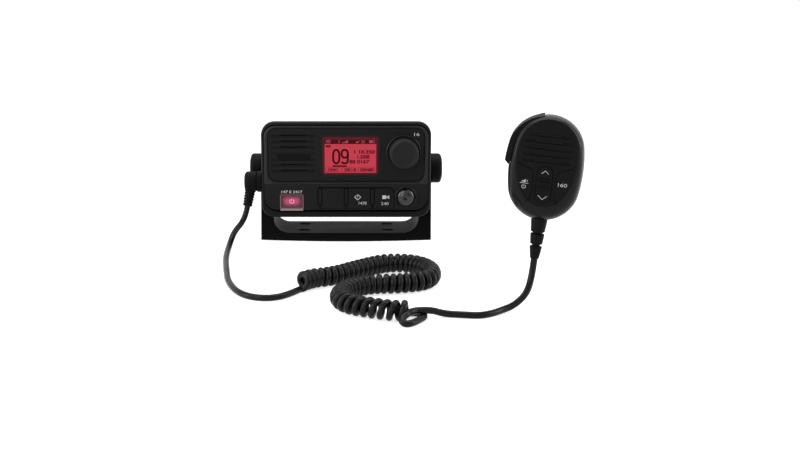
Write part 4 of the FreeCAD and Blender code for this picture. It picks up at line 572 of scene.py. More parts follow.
PAINTED_HALO_HALF = (24.7, 16.4)                    # the painted halo starts just inside the screen's edge
SOCKET_Y, SOCKET_Z = -30.3, 61.6            # axis of the microphone socket
TILT_AXIS_Z = 68.5
KNOB_SEAT, KNOB_R, KNOB_THICK = 85.0, 14.8, 11.5


# ---------------------------------------------------------------- materials
def linear(code):
    """sRGB hex colour as linear RGBA."""
    out = []
    for i in (1, 3, 5):
        c = int(code[i:i + 2], 16) / 255
        out.append(c / 12.92 if c <= 0.04045 else ((c + 0.055) / 1.055) ** 2.4)
    return (*out, 1.0)


def start_material(name, code, roughness, metallic=0.0, specular=0.5):
    """Material with its main shader; returns it, its tree, the shader and object coordinates."""
    material = bpy.data.materials.new(name)
    material.use_nodes = True
    tree = material.node_tree
    shader = tree.nodes["Principled BSDF"]
    shader.inputs["Base Color"].default_value = linear(code)
    shader.inputs["Roughness"].default_value = roughness
    shader.inputs["Metallic"].default_value = metallic
    shader.inputs["Specular IOR Level"].default_value = specular
    place = add(tree, "ShaderNodeTexCoord").outputs["Object"]
    return material, tree, shader, place


MOTTLE_MM = 22                  # flow marks of a moulding run about this wide


def moulded(name, code, light_code, roughness, grain_mm, depth, specular=0.5, spread=0.08):
    """Injection-moulded plastic or rubber: spark-eroded grain, faint flow mottling, uneven gloss.

    The real grain measures 0.05 to 0.1 mm. It is drawn coarser, at grain_mm, so that it shows."""
    material, tree, shader, place = start_material(name, code, roughness, specular=specular)
    mottle = add(tree, "ShaderNodeTexNoise", {"Vector": place, "Scale": 1 / (MOTTLE_MM * MM), "Detail": 3.0})
    tone = add(tree, "ShaderNodeMix", {0: mottle.outputs["Fac"], 6: linear(code), 7: linear(light_code)},
               data_type="RGBA")
    tree.links.new(tone.outputs[2], shader.inputs["Base Color"])
    grain = add(tree, "ShaderNodeTexNoise", {"Vector": place, "Scale": 1 / (grain_mm * MM), "Detail": 2.0})
    gloss = add(tree, "ShaderNodeMapRange", {"Value": mottle.outputs["Fac"], "To Min": roughness - spread,
                                             "To Max": roughness + spread})
    tree.links.new(gloss.outputs["Result"], shader.inputs["Roughness"])
    bump = add(tree, "ShaderNodeBump", {"Height": grain.outputs["Fac"], "Strength": 0.35, "Distance": depth * MM})
    tree.links.new(bump.outputs["Normal"], shader.inputs["Normal"])
    return material


def metal(name, code, roughness, streak_mm, axis_scale, depth):
    """Machined or brushed metal: fine parallel marks, drawn coarser than real so that they show."""
    material, tree, shader, place = start_material(name, code, roughness, metallic=1.0)
    stretch = add(tree, "ShaderNodeMapping", {"Vector": place, "Scale": axis_scale})
    marks = add(tree, "ShaderNodeTexNoise", {"Vector": stretch.outputs["Vector"], "Scale": 1 / (streak_mm * MM),
                                             "Detail": 4.0})
    gloss = add(tree, "ShaderNodeMapRange", {"Value": marks.outputs["Fac"], "To Min": roughness - 0.08,
                                             "To Max": roughness + 0.1})
    tree.links.new(gloss.outputs["Result"], shader.inputs["Roughness"])
    bump = add(tree, "ShaderNodeBump", {"Height": marks.outputs["Fac"], "Strength": 0.3, "Distance": depth * MM})
    tree.links.new(bump.outputs["Normal"], shader.inputs["Normal"])
    return material


def spun(material, strength):
    """Turns a metal's polish into one turned on a lathe about the Y axis: highlights fan out from the middle."""
    tree = material.node_tree
    shader = tree.nodes["Principled BSDF"]
    turning = add(tree, "ShaderNodeTangent", direction_type="RADIAL", axis="Y")
    tree.links.new(turning.outputs["Tangent"], shader.inputs["Tangent"])
    shader.inputs["Anisotropic"].default_value = strength


def glowing(name, code, strength=1.0):
    """Lit display ink: its own light under a window that hardly mirrors."""
    material = start_material(name, "#000000", 0.5, specular=0.03)[0]
    shader = material.node_tree.nodes["Principled BSDF"]
    shader.inputs["Emission Color"].default_value = linear(code)
    shader.inputs["Emission Strength"].default_value = strength
    return material


def nearness(tree, centre, half, reach, interpolation):
    """1 on an upright rectangle, and down to 0 at a reach from it, by X and Z; all in millimetres."""
    place = add(tree, "ShaderNodeTexCoord").outputs["Object"]
    parts = add(tree, "ShaderNodeSeparateXYZ", {"Vector": place})
    squares = []
    for axis, middle, side in (("X", centre[0], half[0]), ("Z", centre[1], half[1])):
        off = add(tree, "ShaderNodeMath", {0: parts.outputs[axis], 1: middle * MM}, operation="SUBTRACT")
        size = add(tree, "ShaderNodeMath", {0: off.outputs[0]}, operation="ABSOLUTE")
        over = add(tree, "ShaderNodeMath", {0: size.outputs[0], 1: side * MM}, operation="SUBTRACT")
        past = add(tree, "ShaderNodeMath", {0: over.outputs[0], 1: 0.0}, operation="MAXIMUM")
        squares.append(add(tree, "ShaderNodeMath", {0: past.outputs[0], 1: 2.0}, operation="POWER"))
    total = add(tree, "ShaderNodeMath", {0: squares[0].outputs[0], 1: squares[1].outputs[0]})
    distance = add(tree, "ShaderNodeMath", {0: total.outputs[0]}, operation="SQRT")
    near = add(tree, "ShaderNodeMapRange", {"Value": distance.outputs[0], "From Min": 0.0, "From Max": reach * MM,
                                            "To Min": 1.0, "To Max": 0.0}, interpolation_type=interpolation)
    return near.outputs["Result"]


def painted_guard_glow(material):
    """Glow painted into the smoked guard, which is no lamp: a pale haze all over and a rose core behind its symbol.
    """
    tree = material.node_tree
    near = nearness(tree, BUTTON_AT, (4.2, 0.5), 5.6, "SMOOTHSTEP")
    tint = add(tree, "ShaderNodeMix", {0: near, 6: linear("#463539"), 7: linear("#c24a70")}, data_type="RGBA")
    shader = tree.nodes["Principled BSDF"]
    tree.links.new(tint.outputs[2], shader.inputs["Emission Color"])
    shader.inputs["Emission Strength"].default_value = 1.0
    shader.inputs["Alpha"].default_value = 0.80


def glow_round(material, code, strength, centre, half, reach, power):
    """Adds light that falls off outside a rectangle; sizes in millimetres."""
    tree = material.node_tree
    near = nearness(tree, centre, half, reach, "LINEAR")
    soft = add(tree, "ShaderNodeMath", {0: near, 1: power}, operation="POWER")
    level = add(tree, "ShaderNodeMath", {0: soft.outputs[0], 1: strength}, operation="MULTIPLY")
    shader = tree.nodes["Principled BSDF"]
    shader.inputs["Emission Color"].default_value = linear(code)
    tree.links.new(level.outputs[0], shader.inputs["Emission Strength"])


# Mouldings: dark and light tone, roughness, grain and its depth in millimetres. The blacks differ by their shine.
# Bracket: dead black that swallows light, so that only its bends show.
NYLON = moulded("glass_filled_nylon", "#080808", "#0c0c0c", 0.50, 0.6, 0.05, specular=0.04)
# Surround: matt, with a soft line of light along its rolled edge.
HOUSING = moulded("polycarbonate_housing", "#0a0a0a", "#0e0e0e", 0.44, 0.5, 0.03, specular=0.10)
# Face panel: flat matt field, a shade lighter than the surround.
PANEL = moulded("polycarbonate_panel_matt", "#0c0c0c", "#101010", 0.52, 0.4, 0.02, specular=0.13)
# Raised border of the field: satin, so that it catches a thin line.
FRAME_SATIN = moulded("polycarbonate_satin", "#121212", "#181818", 0.36, 0.4, 0.01, specular=0.25)
# Soft keys: matt caps, hardly lighter than the panel round them.
KEYCAP = moulded("key_cap_abs", "#0d0d0d", "#121212", 0.46, 0.4, 0.02, specular=0.13)
# Dial: paint with a soft feel and a broad dull sheen on its shoulder.
DIAL_PLASTIC = moulded("soft_touch_polyurethane", "#0f0f0f", "#151515", 0.48, 0.35, 0.02, specular=0.18)
# Rings round the dial and the volume knob: smooth, with a clear glint.
RING_GREY = moulded("satin_abs", "#121212", "#181818", 0.28, 0.5, 0.01, specular=0.22)
# Tilt knobs and plug: deep matt black without glints.
KNOB_PLASTIC = moulded("knob_nylon", "#0a0a0a", "#0e0e0e", 0.52, 0.5, 0.03, specular=0.06)
# Microphone shells: polished, with long soft highlights on the shoulders.
SHELL_ABS = moulded("abs_polished", "#080808", "#0c0c0c", 0.23, 1.2, 0.01, specular=0.14, spread=0.03)
# Microphone's face and keys: matt against the polished shell.
INLAY = moulded("abs_inlay_matt", "#090909", "#0d0d0d", 0.50, 0.4, 0.02, specular=0.09)
# Strain reliefs, gasket and washers: dull and a little uneven.
RUBBER = moulded("moulded_rubber", "#0c0c0c", "#111111", 0.58, 0.7, 0.03, specular=0.08)
# Cord: smooth jacket with a thin bright line along each turn.
JACKET = moulded("polyurethane_jacket", "#070707", "#0b0b0b", 0.32, 1.6, 0.02, specular=0.15)
# Rear casting: powder paint with a slight orange peel.
POWDER = moulded("powder_coated_casting", "#101010", "#171717", 0.55, 1.1, 0.08, specular=0.32)
# Inside the case, hardly ever seen: green boards and a black cone.
BOARD = moulded("solder_resist", "#0f3a20", "#154a2a", 0.4, 2.0, 0.02)
SPEAKER_CONE = moulded("polypropylene_cone", "#0b0b0b", "#0f0f0f", 0.6, 1.0, 0.03)
# Cloth, and the black that is painted shade in gaps, grooves, slots and openings: the darkest places, without any
# shine.
SHADE_CLOTH = moulded("acoustic_cloth", "#0a0a0a", "#0d0d0d", 0.8, 0.25, 0.02, specular=0.1)
SHADE_BLACK = moulded("black_silicone_seam", "#020202", "#030303", 0.8, 0.5, 0.01, specular=0.02)
# Printed figures: flat off-white.
INK = moulded("pad_print_ink", "#d4d5d3", "#dededc", 0.6, 0.3, 0.005, specular=0.2)

# Metals: tone, roughness, width of the marks in millimetres, their stretch along X, Y and Z, and their depth.
# Screws, shafts and pins: bright, drawn along Z. The encoders' cans and the inserts are hidden.
STEEL = metal("stainless_steel", "#a9a9a7", 0.32, 0.4, (1, 1, 8), 0.01)
TIN = metal("tinned_steel", "#8f8f8d", 0.35, 0.6, (1, 1, 1), 0.01)
BRASS = metal("turned_brass", "#b08d4a", 0.30, 0.4, (1, 8, 1), 0.01)
# Sockets: warm grey and bright.
NICKEL = metal("nickel_plated_brass", "#b6b2a8", 0.22, 0.5, (1, 8, 1), 0.01)
# Finger lip of the guard: brushed along X, a pale bar.
LIP_METAL = metal("satin_aluminium", "#7c7876", 0.38, 0.3, (0.1, 1, 1), 0.01)
# Volume knob: dark, with two bright streaks that fan out from its middle.
KNOB_METAL = metal("dark_anodised_aluminium", "#3a3a3a", 0.20, 0.3, (1, 1, 1), 0.01)
spun(KNOB_METAL, 0.75)

# Light: the red display with darker figures, a halo painted as glow into the panel round it, and the rose call button
# under its smoked guard, whose haze, edge and symbol are painted glow.
SCREEN_RED = glowing("display_backlight", "#c13d4c")
SCREEN_DARK = glowing("display_status_bar", "#430d14")
SCREEN_INK = glowing("display_segments", "#40050d")
SCREEN_LINE = glowing("display_tab_lines", "#96202f")
SCREEN_PINK = glowing("display_icons", "#b04a58")
# painted glow: the guard's symbol and lit edge glow though the guard is no lamp
GUARD_SYMBOL_GLOW = glowing("lit_symbol", "#f3b3c6")
GUARD_EDGE_GLOW = glowing("guard_lit_edge", "#a0606c")
BUTTON_GLOW = moulded("lit_button_diffuser", "#1c1214", "#1f1416", 0.45, 0.4, 0.01)
GUARD_CLEAR = moulded("guard_polycarbonate", "#241b1f", "#241b1f", 0.3, 0.4, 0.0, specular=0.1)
# painted glow: the panel's own material glows red round the display as its halo
glow_round(PANEL, "#b81028", 0.30, SCREEN_MIDDLE, PAINTED_HALO_HALF, 4.6, 2.4)
glow_round(BUTTON_GLOW, "#cf4a78", 0.95, (BUTTON_AT[0], 44.1), (3.6, 0.6), 6.2, 1.5)
# painted glow: a haze and a rose core in the guard's own material
painted_guard_glow(GUARD_CLEAR)

CAD_FINISH = {
    "gimbal_bracket": NYLON, "friction_washers": RUBBER, "rear_chassis": POWDER, "chassis_screws": STEEL,
    "gimbal_inserts": BRASS, "front_gasket": RUBBER, "front_bezel": HOUSING, "front_panel": PANEL,
    "divider_inserts": RING_GREY, "keypad_mat": RUBBER, "lcd_window": HOUSING, "lcd_module": HOUSING,
    "speaker_driver": SPEAKER_CONE, "speaker_cone": SPEAKER_CONE, "main_board": BOARD, "channel_encoder": TIN,
    "dial_ring": RING_GREY, "channel_dial": DIAL_PLASTIC, "channel_shaft": STEEL, "channel_plunger": DIAL_PLASTIC,
    "volume_encoder": TIN, "volume_ring": RING_GREY, "volume_knob": KNOB_METAL, "volume_shaft": STEEL,
    "alert_button": KEYCAP, "button_lamp": BOARD, "guard_flap": HOUSING, "guard_lip": LIP_METAL,
    "guard_hinge_pin": HOUSING, "mic_socket": NICKEL, "elbow_plug": KNOB_PLASTIC, "plug_coupling_ring": KNOB_PLASTIC,
    "plug_boot": RUBBER, "antenna_socket": NICKEL, "power_socket": HOUSING, "left_tilt_knob": KNOB_PLASTIC,
    "right_tilt_knob": KNOB_PLASTIC, "left_tilt_stud": STEEL, "right_tilt_stud": STEEL, "soft_key_1": KEYCAP,
    "soft_key_2": KEYCAP, "soft_key_3": KEYCAP, "mic_front_shell": SHELL_ABS, "mic_rear_shell": SHELL_ABS,
    "mic_face_panel": INLAY, "mic_seal": RUBBER, "mic_capsule": SPEAKER_CONE, "mic_board": BOARD,
    "mic_hang_stud": STEEL, "mic_screws": STEEL, "mic_boot": RUBBER, "ptt_button": INLAY, "ptt_pin": STEEL,
    "rocker_key": KEYCAP, "rocker_pin": STEEL, "mic_left_key": INLAY, "mic_right_key": INLAY,
}


def paint(piece, material):
    """Gives a piece its one finish."""
    piece.data.materials.clear()
    piece.data.materials.append(material)
    return piece


for node, material in CAD_FINISH.items():
    paint(NODES[node], material)


# ---------------------------------------------------------------- cord pieces
def plug_lead():
    """Plain lead from the plug's strain relief down to the curly part."""
    line = smooth_line(PLUG_LEAD_ROUTE)
    lead = paint(tube("plug_lead", line, CORD_R), JACKET)
    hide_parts("cord_plug_lead")
    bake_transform(lead)


def curly_cord():
    """Curly part, which lies on the surface."""
    line = coiled_line(COIL_ROUTE, COIL_TAIL)
    coil = paint(tube("curly_cord", line, CORD_R, sides=12), JACKET)
    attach(coil, "bracket")
    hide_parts("cord_coil")


def mic_lead():
    """Plain lead up to the microphone."""
    line = smooth_line(MIC_LEAD_ROUTE)
    lead = paint(tube("mic_lead", line, CORD_R), JACKET)
    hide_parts("cord_mic_lead")
    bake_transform(lead)


plug_lead()
curly_cord()
mic_lead()


# ---------------------------------------------------------------- radio front
def panel_ring(grow, y):
    """Outline of the face panel, moved outwards by grow."""
    return rounded_ring(-PANEL_HALF_W - grow, PANEL_HALF_W + grow, PANEL_FOOT - grow, PANEL_HEAD + grow, y,
                        PANEL_CORNER + grow, PANEL_FOOT_CORNER + grow)


def gap_ring(grow, y):
    """Outline of the groove round the panel, at a share of its width."""
    side, foot = SHADOW_GAP * grow, SHADOW_FOOT * grow
    return rounded_ring(-PANEL_HALF_W - side, PANEL_HALF_W + side, PANEL_FOOT - foot, PANEL_HEAD + side, y,
                        PANEL_CORNER + side, PANEL_FOOT_CORNER + foot)


def field_ring(grow, y):
    """Outline of the panel's shallow upper field, moved outwards by grow."""
    return rounded_ring(-FIELD_HALF_W - grow, FIELD_HALF_W + grow, FIELD_FOOT - grow, FIELD_HEAD + grow, y,
                        FIELD_CORNER + grow)


def panel_trim():
    """Black strip painted as the shade in the groove round the panel, the crowned border of its upper field, and a
    black line painted as the shadow inside that border.
    """
    # painted shade: a black strip lies in the groove round the panel
    top, low = BEZEL_FRONT + 0.05, BEZEL_FRONT + 0.6
    groove = skin("groove", [gap_ring(0, top), gap_ring(1, top), gap_ring(1, low), gap_ring(0, low)], loop=True)
    # painted shadow: a black line at the foot of the field's step
    top, low = FIELD_FRONT - 0.04, FIELD_FRONT + 0.1
    step = skin("step", [field_ring(-0.45, top), field_ring(0.1, top), field_ring(0.1, low), field_ring(-0.45, low)],
                loop=True)
    dress("panel_groove", joined("panel_groove", [groove, step]), SHADE_BLACK, body="radio")
    inner, outer = field_ring(0.1, 0), panel_ring(-0.15, 0)
    crown = ((0, -0.2), (0.05, 0.1), (0.25, 0.3), (0.5, 0.36), (0.75, 0.3), (0.95, 0.0), (1, -0.2))
    rings = [[a.lerp(b, share) + Vector((0, PANEL_FRONT - rise, 0)) for a, b in zip(inner, outer)]
             for share, rise in crown]
    dress("panel_frame", skin("panel_frame", rings, loop=True, sharp_deg=60), FRAME_SATIN, body="radio")


def bezel():
    """Surround with a soft outer edge, a band round the panel and the boss of the microphone socket."""
    def outer(inset, y):
        return rounded_ring(-BEZEL_HALF_W + inset, BEZEL_HALF_W - inset, BEZEL_FOOT + inset, BEZEL_HEAD - inset, y,
                            BEZEL_CORNER - inset)

    rings = [outer(0.3, BEZEL_BACK), outer(0.0, BEZEL_BACK - 0.3)]
    steps = 7
    for i in range(steps + 1):
        angle = math.radians(90 * i / steps)
        rings.append(outer(BEZEL_EDGE * (1 - math.cos(angle)), BEZEL_FRONT + BEZEL_EDGE * (1 - math.sin(angle))))
    well, ledge = BEZEL_FRONT + 2.2, PANEL_BACK + 0.1
    rings += [gap_ring(1.1, BEZEL_FRONT), gap_ring(1, BEZEL_FRONT + 0.15), gap_ring(1, well),
              panel_ring(PANEL_GAP, well), panel_ring(PANEL_GAP, ledge), panel_ring(-PANEL_LAND, ledge),
              panel_ring(-PANEL_LAND, BEZEL_BACK)]
    boss_r, boss_long = 8.3, 12.4
    boss = turned("boss", [(0, 0), (boss_r, 0), (boss_r, boss_long), (0, boss_long)],
                  (-BEZEL_HALF_W + 12.5, SOCKET_Y, SOCKET_Z), (-1, 0, 0))
    whole = joined("bezel", [skin("bezel", rings, loop=True), boss])
    dress("bezel", whole, HOUSING, node="front_bezel")


def trim_ring(name, node, corners, place, sides):
    """Ring round a knob, turned from a closed profile."""
    ring = skin(name, lathe_loop(soft_profile(corners, 0.25, 3), place, sides), loop=True)
    dress(name, ring, RING_GREY, node=node)


def dial():
    """Channel dial with a rounded shoulder and a shallow dish, and its trim ring."""
    x, z = DIAL_AT
    r, h = DIAL_R, DIAL_PROUD
    hollow_r, hollow_floor, back = 7.4, 6.2, 1.3            # open back, clear of the encoder when it is pushed
    corners = [(0, hollow_floor), (hollow_r, hollow_floor), (hollow_r, back), (r - 0.4, back), (r, 1.6), (r, 3.6),
               (r - 0.35, h - 3.2), (r - 0.9, h - 1.2), (r - 2.9, h - 0.1), (11.3, h), (10.4, h - 0.45),
               (6.0, h - 0.62), (0, h - 0.68)]
    cap = turned("dial", soft_profile(corners, 0.9), (x, FIELD_FRONT, z), (0, -1, 0), sides=160)
    dress("dial", cap, DIAL_PLASTIC, node="channel_dial")
    outer, inner = 16.9, 15.3
    corners = [(inner, -0.5), (outer, -0.5), (outer, 0.7), (outer - 0.6, 1.3), (inner + 0.35, 1.15), (inner, 0.6)]
    trim_ring("dial_trim", "dial_ring", corners, (x, FIELD_FRONT, z), 160)


def volume():
    """Small domed knob, turned from metal, and its trim ring."""
    x, z = VOLUME_AT
    r, h = VOLUME_R, VOLUME_PROUD
    corners = [(0, 0), (r - 0.3, 0), (r, 0.4), (r, h - 4.4), (r - 0.35, h - 3.4), (r - 1.5, h - 2.1),
               (r - 3.4, h - 0.95), (r - 5.6, h - 0.25), (0, h)]
    knob = turned("volume", soft_profile(corners, 1.0), (x, KEY_FRONT + 1.5, z), (0, -1, 0), sides=128, sharp_deg=50)
    dress("volume", knob, KNOB_METAL, node="volume_knob")
    outer, inner = 10.7, 9.2
    corners = [(inner, 0), (outer, 0), (outer, 1.9), (outer - 0.5, 2.5), (inner + 0.3, 2.3), (inner, 1.8)]
    trim_ring("volume_trim", "volume_ring", corners, (x, KEY_FRONT + 2.0, z), 128)


def oval(centre, half_w, half_h, start_deg, end_deg, steps=28):
    """Points of an oval with slightly straight sides, for display figures."""
    out = []
    for i in range(steps + 1):
        angle = math.radians(start_deg + (end_deg - start_deg) * i / steps)
        across, rise = math.cos(angle), math.sin(angle)
        out.append((centre[0] + half_w * math.copysign(abs(across) ** 0.8, across),
                    centre[1] + half_h * math.copysign(abs(rise) ** 0.8, rise)))
    return out


def screen():
    """Lit display with its picture: status bar, channel number, three lines of figures and three tabs."""
    x0, x1, z0, z1 = SCREEN
    split, head = 100.5, z1 - 0.8               # foot and head of the status bar
    y = FIELD_FRONT
    plate = skin("screen", [rounded_ring(x0, x1, z0, z1, depth, 0.8) for depth in (y + 1.5, y)])
    dress("screen", plate, PANEL, node="lcd_window")
    dress("screen_light", bar(x0, x1, z0, split, y), SCREEN_RED, body="radio")
    dress("screen_bar", bar(x0, x1, split, head, y), SCREEN_DARK, body="radio")
    y -= 0.05
    half_w, weight = 3.05, 1.95                 # of the two large figures
    zero = oval((-9.55, 88.1), half_w, 6.6, 0, 360)
    nine = oval((-1.3, 90.9), half_w, 3.8, 0, 360)
    tail = [(1.75, 90.9), (1.75, 86.2)] + oval((-1.3, 84.9), half_w, 3.4, 0, -155)
    marks = [stroke(line, weight, y) for line in (zero, nine, tail)] + [bar(-12.9, 0.6, 78.0, 79.5, y)]
    figures = (("4480", -20.2, -14.9, 97.0, 99.5, 0.05), ("1 10.350", 7.9, 28.0, 91.0, 94.6, 0.03),
               ("1.3008", 11.0, 22.8, 86.0, 89.8, 0.03), ("88 0167", 3.2, 22.6, 81.2, 84.9, 0.03),
               ("1041", -17.2, -8.2, 73.6, 76.6, 0.03), ("200118", -1.8, 9.6, 73.6, 76.6, 0.03),
               ("300480", 13.4, 26.8, 73.6, 76.6, 0.03))        # text, left, right, foot, head, boldness
    marks += [numerals(text, *box, y, bold) for text, *box, bold in figures]
    dress("screen_marks", joined("screen_marks", marks), SCREEN_INK, body="radio")
    tabs = []
    for left, right in ((-20.0, -4.5), (-4.0, 11.6), (12.1, 28.4)):
        tabs += frame_lines(left, right, 72.9, 77.3, y, 0.4)
    dress("screen_tabs", joined("screen_tabs", tabs), SCREEN_LINE, body="radio")
    y -= 0.05
    letter = frame_lines(-19.4, -15.2, 101.4, 104.3, y, 0.45)
    letter.append(stroke([(-19.2, 104.1), (-17.3, 102.5), (-15.4, 104.1)], 0.4, y))
    signal = [bar(-3.8 + 1.2 * i, -2.95 + 1.2 * i, 101.3, 101.9 + 0.6 * i, y) for i in range(5)]
    arrow = [stroke([(-7.4, 101.4), (-6.1, 102.8), (-7.4, 104.2)], 0.5, y)]
    level = [numerals("20", 14.4, 18.2, 101.2, 104.3, y), bar(9.4, 12.2, 101.9, 102.9, y),
             stroke([(10.2, 101.2), (12.9, 104.1)], 0.5, y)]
    battery = frame_lines(22.3, 28.0, 101.5, 104.2, y, 0.4) + [bar(22.9, 25.9, 102.1, 103.6, y)]
    icons = letter + signal + arrow + level + battery
    dress("screen_icons", joined("screen_icons", icons), SCREEN_PINK, body="radio")


def slits(half, low, high, first, count, material):
    """Strips at one height in a run of the loudspeaker's slots, counted from the top one, 0."""
    z = GRILLE_TOP - first * GRILLE_PITCH
    strip = bar(GRILLE_X - half, GRILLE_X + half, z + low, z + high, FIELD_FRONT + 0.9)
    return row(strip, count, (0.0, 0.0, -GRILLE_PITCH), material)


def grille_cloth():
    """Dark acoustic cloth in the wide mouth and behind some slits, kept black as painted shade; black strips painted
    as the shade behind the other slits, and black lines painted as the shadows of the slots.
    """
    foot, head = 15.3, 16.7                     # half widths of the mouth
    # painted shade: the dark cloth in the mouth is the shade of its recess
    mouth = flat([(GRILLE_X - foot, 84.9), (GRILLE_X + foot, 84.9), (GRILLE_X + head, 89.8), (GRILLE_X - head, 89.8)],
                 FIELD_FRONT + 0.05)
    dress("grille_cloth", mouth, SHADE_CLOTH, body="radio")
    slot, gap = 20.4, 12.5                      # half widths of a slot and of the slit in it
    # painted shade: black strips behind the slits, and black lines for the shadows along the slots' upper and lower
    # edges
    lines = [slits(gap, 0.75, 1.95, 1, 2, SHADE_BLACK)]
    for first, count in ((0, 3), (5, 2)):       # the mouth takes the place of slots 3 and 4
        lines += [slits(slot, 2.3, 2.6, first, count, SHADE_BLACK), slits(slot, 0.1, 0.3, first, count, SHADE_BLACK)]
    dress("grille_lines", joined("grille_lines", lines), SHADE_BLACK, body="radio")
    # painted shade: dark cloth behind the other slits
    backs = [slits(gap, 0.7, 2.0, first, count, SHADE_CLOTH) for first, count in ((0, 1), (5, 2))]
    dress("grille_backs", joined("grille_backs", backs), SHADE_CLOTH, body="radio")


def key_gap_shade_and_guard_glow():
    """Thin black lines painted as the shadow in the gaps round the soft keys and the pills between them, and the
    guard's edge painted as glowing.
    """
    # painted shadow: black lines in the gaps round the keys and the pills
    y = KEY_FRONT - 0.28
    top = [(KEY_LEFT - 1.2, KEY_TOP + 0.2), (KEY_END - 4.4, KEY_TOP + 0.2), (KEY_END - 0.2, KEY_TOP - 4.2)]
    loop = arc((PILL_FIRST, PILL_HEAD), PILL_R, 0, 180, 10) + arc((PILL_FIRST, PILL_FOOT), PILL_R, 180, 360, 10)
    stem = stroke([(PILL_FIRST, 40.2), (PILL_FIRST, KEY_FOOT)], 0.5, y)
    pill = joined("pill", [stroke(loop + loop[:1], 0.8, y), stem])
    pills = row(pill, 3, (PILL_PITCH, 0.0, 0.0), SHADE_BLACK)
    dress("key_seams", joined("key_seams", [stroke(top, 0.85, y), pills]), SHADE_BLACK, body="radio")
    # painted glow: lines round the guard's face that glow as its lit edge
    edge = frame_lines(-64.3, -41.7, 37.1, 50.6, GUARD_FACE, 0.5)
    dress("guard_edge", joined("guard_edge", edge), GUARD_EDGE_GLOW, body="guard")


def power_symbol(x, z, radius, width, y):
    """Open ring with a bar through its gap."""
    ring = arc((x, z), radius, 125, 415, 29)
    return [stroke(ring, width, y), bar(x - width / 2, x + width / 2, z + radius * 0.1, z + radius * 1.15, y)]


def prints():
    """Pad-printed figures and symbols on the panel and the keys, and the symbol over the lit button, on its guard,
    painted as glowing.
    """
    dress("dial_print", numerals("16", 65.8, 70.8, 108.4, 111.4, FIELD_FRONT), INK, body="radio")
    digits = numerals("147 0 2417", -62.9, -42.6, 52.4, 55.0, KEY_FRONT, bold=0.01)        # over the call button
    dress("panel_print", digits, INK, body="radio")
    y = KEY_FRONT - 0.1
    x = 11.4                                    # middle of the second key's symbol
    home = [(x - 1.0, 50.4), (x - 2.9, 48.5), (x, 45.6), (x + 2.9, 48.5), (x + 1.0, 50.4)]
    icon = [stroke(home, 0.55, y), bar(x - 0.28, x + 0.28, 48.4, 51.4, y),
            numerals("1470", 12.4, 20.0, 40.9, 43.9, y)]
    dress("key_2_print", joined("key_2_print", icon), INK, body="key_2")
    icon = [bar(35.3, 39.2, 46.6, 50.2, y), flat([(39.6, 48.0), (42.1, 46.6), (42.1, 50.2), (39.6, 48.8)], y),
            numerals("240", 34.3, 41.4, 40.5, 43.4, y)]
    dress("key_3_print", joined("key_3_print", icon), INK, body="key_3")
    # painted glow: the power symbol on the guard glows
    symbol = power_symbol(*BUTTON_AT, 2.1, 0.6, GUARD_FACE + 0.35)
    dress("guard_print", joined("guard_print", symbol), GUARD_SYMBOL_GLOW, body="guard")


# ---------------------------------------------------------------- side plug and tilt knobs
def plug():
    """Right-angle plug: coupling ring, barrel, branch down to the lead, and its ribbed boot."""
    edge, level = -BEZEL_HALF_W - 0.2, SOCKET_Z - 0.5       # the plug hangs a little in its socket
    left = (-1, 0, 0)
    ring_r, ring_long = 10.4, 4.6
    ring = soft_profile([(0, 0), (ring_r, 0), (ring_r, ring_long), (0, ring_long)], 0.5)
    dress("plug_ring", turned("plug_ring", ring, (edge, SOCKET_Y, level), left), KNOB_PLASTIC,
          node="plug_coupling_ring")
    r, length = 9.9, 12.5
    corners = [(0, 0), (r, 0), (r, length - 2.2), (r - 2.4, length), (0, length)]
    barrel = turned("barrel", soft_profile(corners, 2.0, 6), (edge - ring_long, SOCKET_Y, level), left)
    top, foot = Vector((-94.3, -30.6, 52.6)), Vector((-97.3, -32.6, 36.8))
    down = (foot - top).normalized()
    branch = turned("branch", [(0, 0), (5.5, 0), (5.5, 10.0), (0, 10.0)], top - down * 9.0, down)
    dress("plug", joined("plug", [barrel, branch]), KNOB_PLASTIC, node="elbow_plug")
    length, ribs, r, narrowing, groove = (foot - top).length, 5, 5.4, 0.7, 0.8
    corners = [(0, 0), (r, 0)]
    pitch = length * 0.84 / ribs
    for i in range(ribs):
        h = length * 0.12 + i * pitch
        for dh, sink in ((0, 0), (pitch * 0.06, groove), (pitch * 0.34, groove), (pitch * 0.4, 0)):
            corners.append((r - narrowing * (h + dh) / length - sink, h + dh))
    corners += [(r - narrowing, length - 0.8), (3.9, length), (0, length)]
    dress("plug_boot_soft", turned("boot", soft_profile(corners, 0.2, 3), top, foot - top), RUBBER, node="plug_boot")


def tilt_knob(side):
    """Domed clamping knob on one end of the tilt axis."""
    r, t = KNOB_R, KNOB_THICK
    corners = [(0, 0), (r - 0.4, 0), (r, 0.4), (r, t - 3.4), (r - 1.4, t - 1.6), (r * 0.62, t - 0.4),
               (r * 0.3, t - 0.1), (0, t)]
    name = {-1: "left", 1: "right"}[side]
    knob = turned("knob", soft_profile(corners, 0.8), (side * KNOB_SEAT, 0, TILT_AXIS_Z), (side, 0, 0), sides=128)
    dress(name + "_knob", knob, KNOB_PLASTIC, node=name + "_tilt_knob")


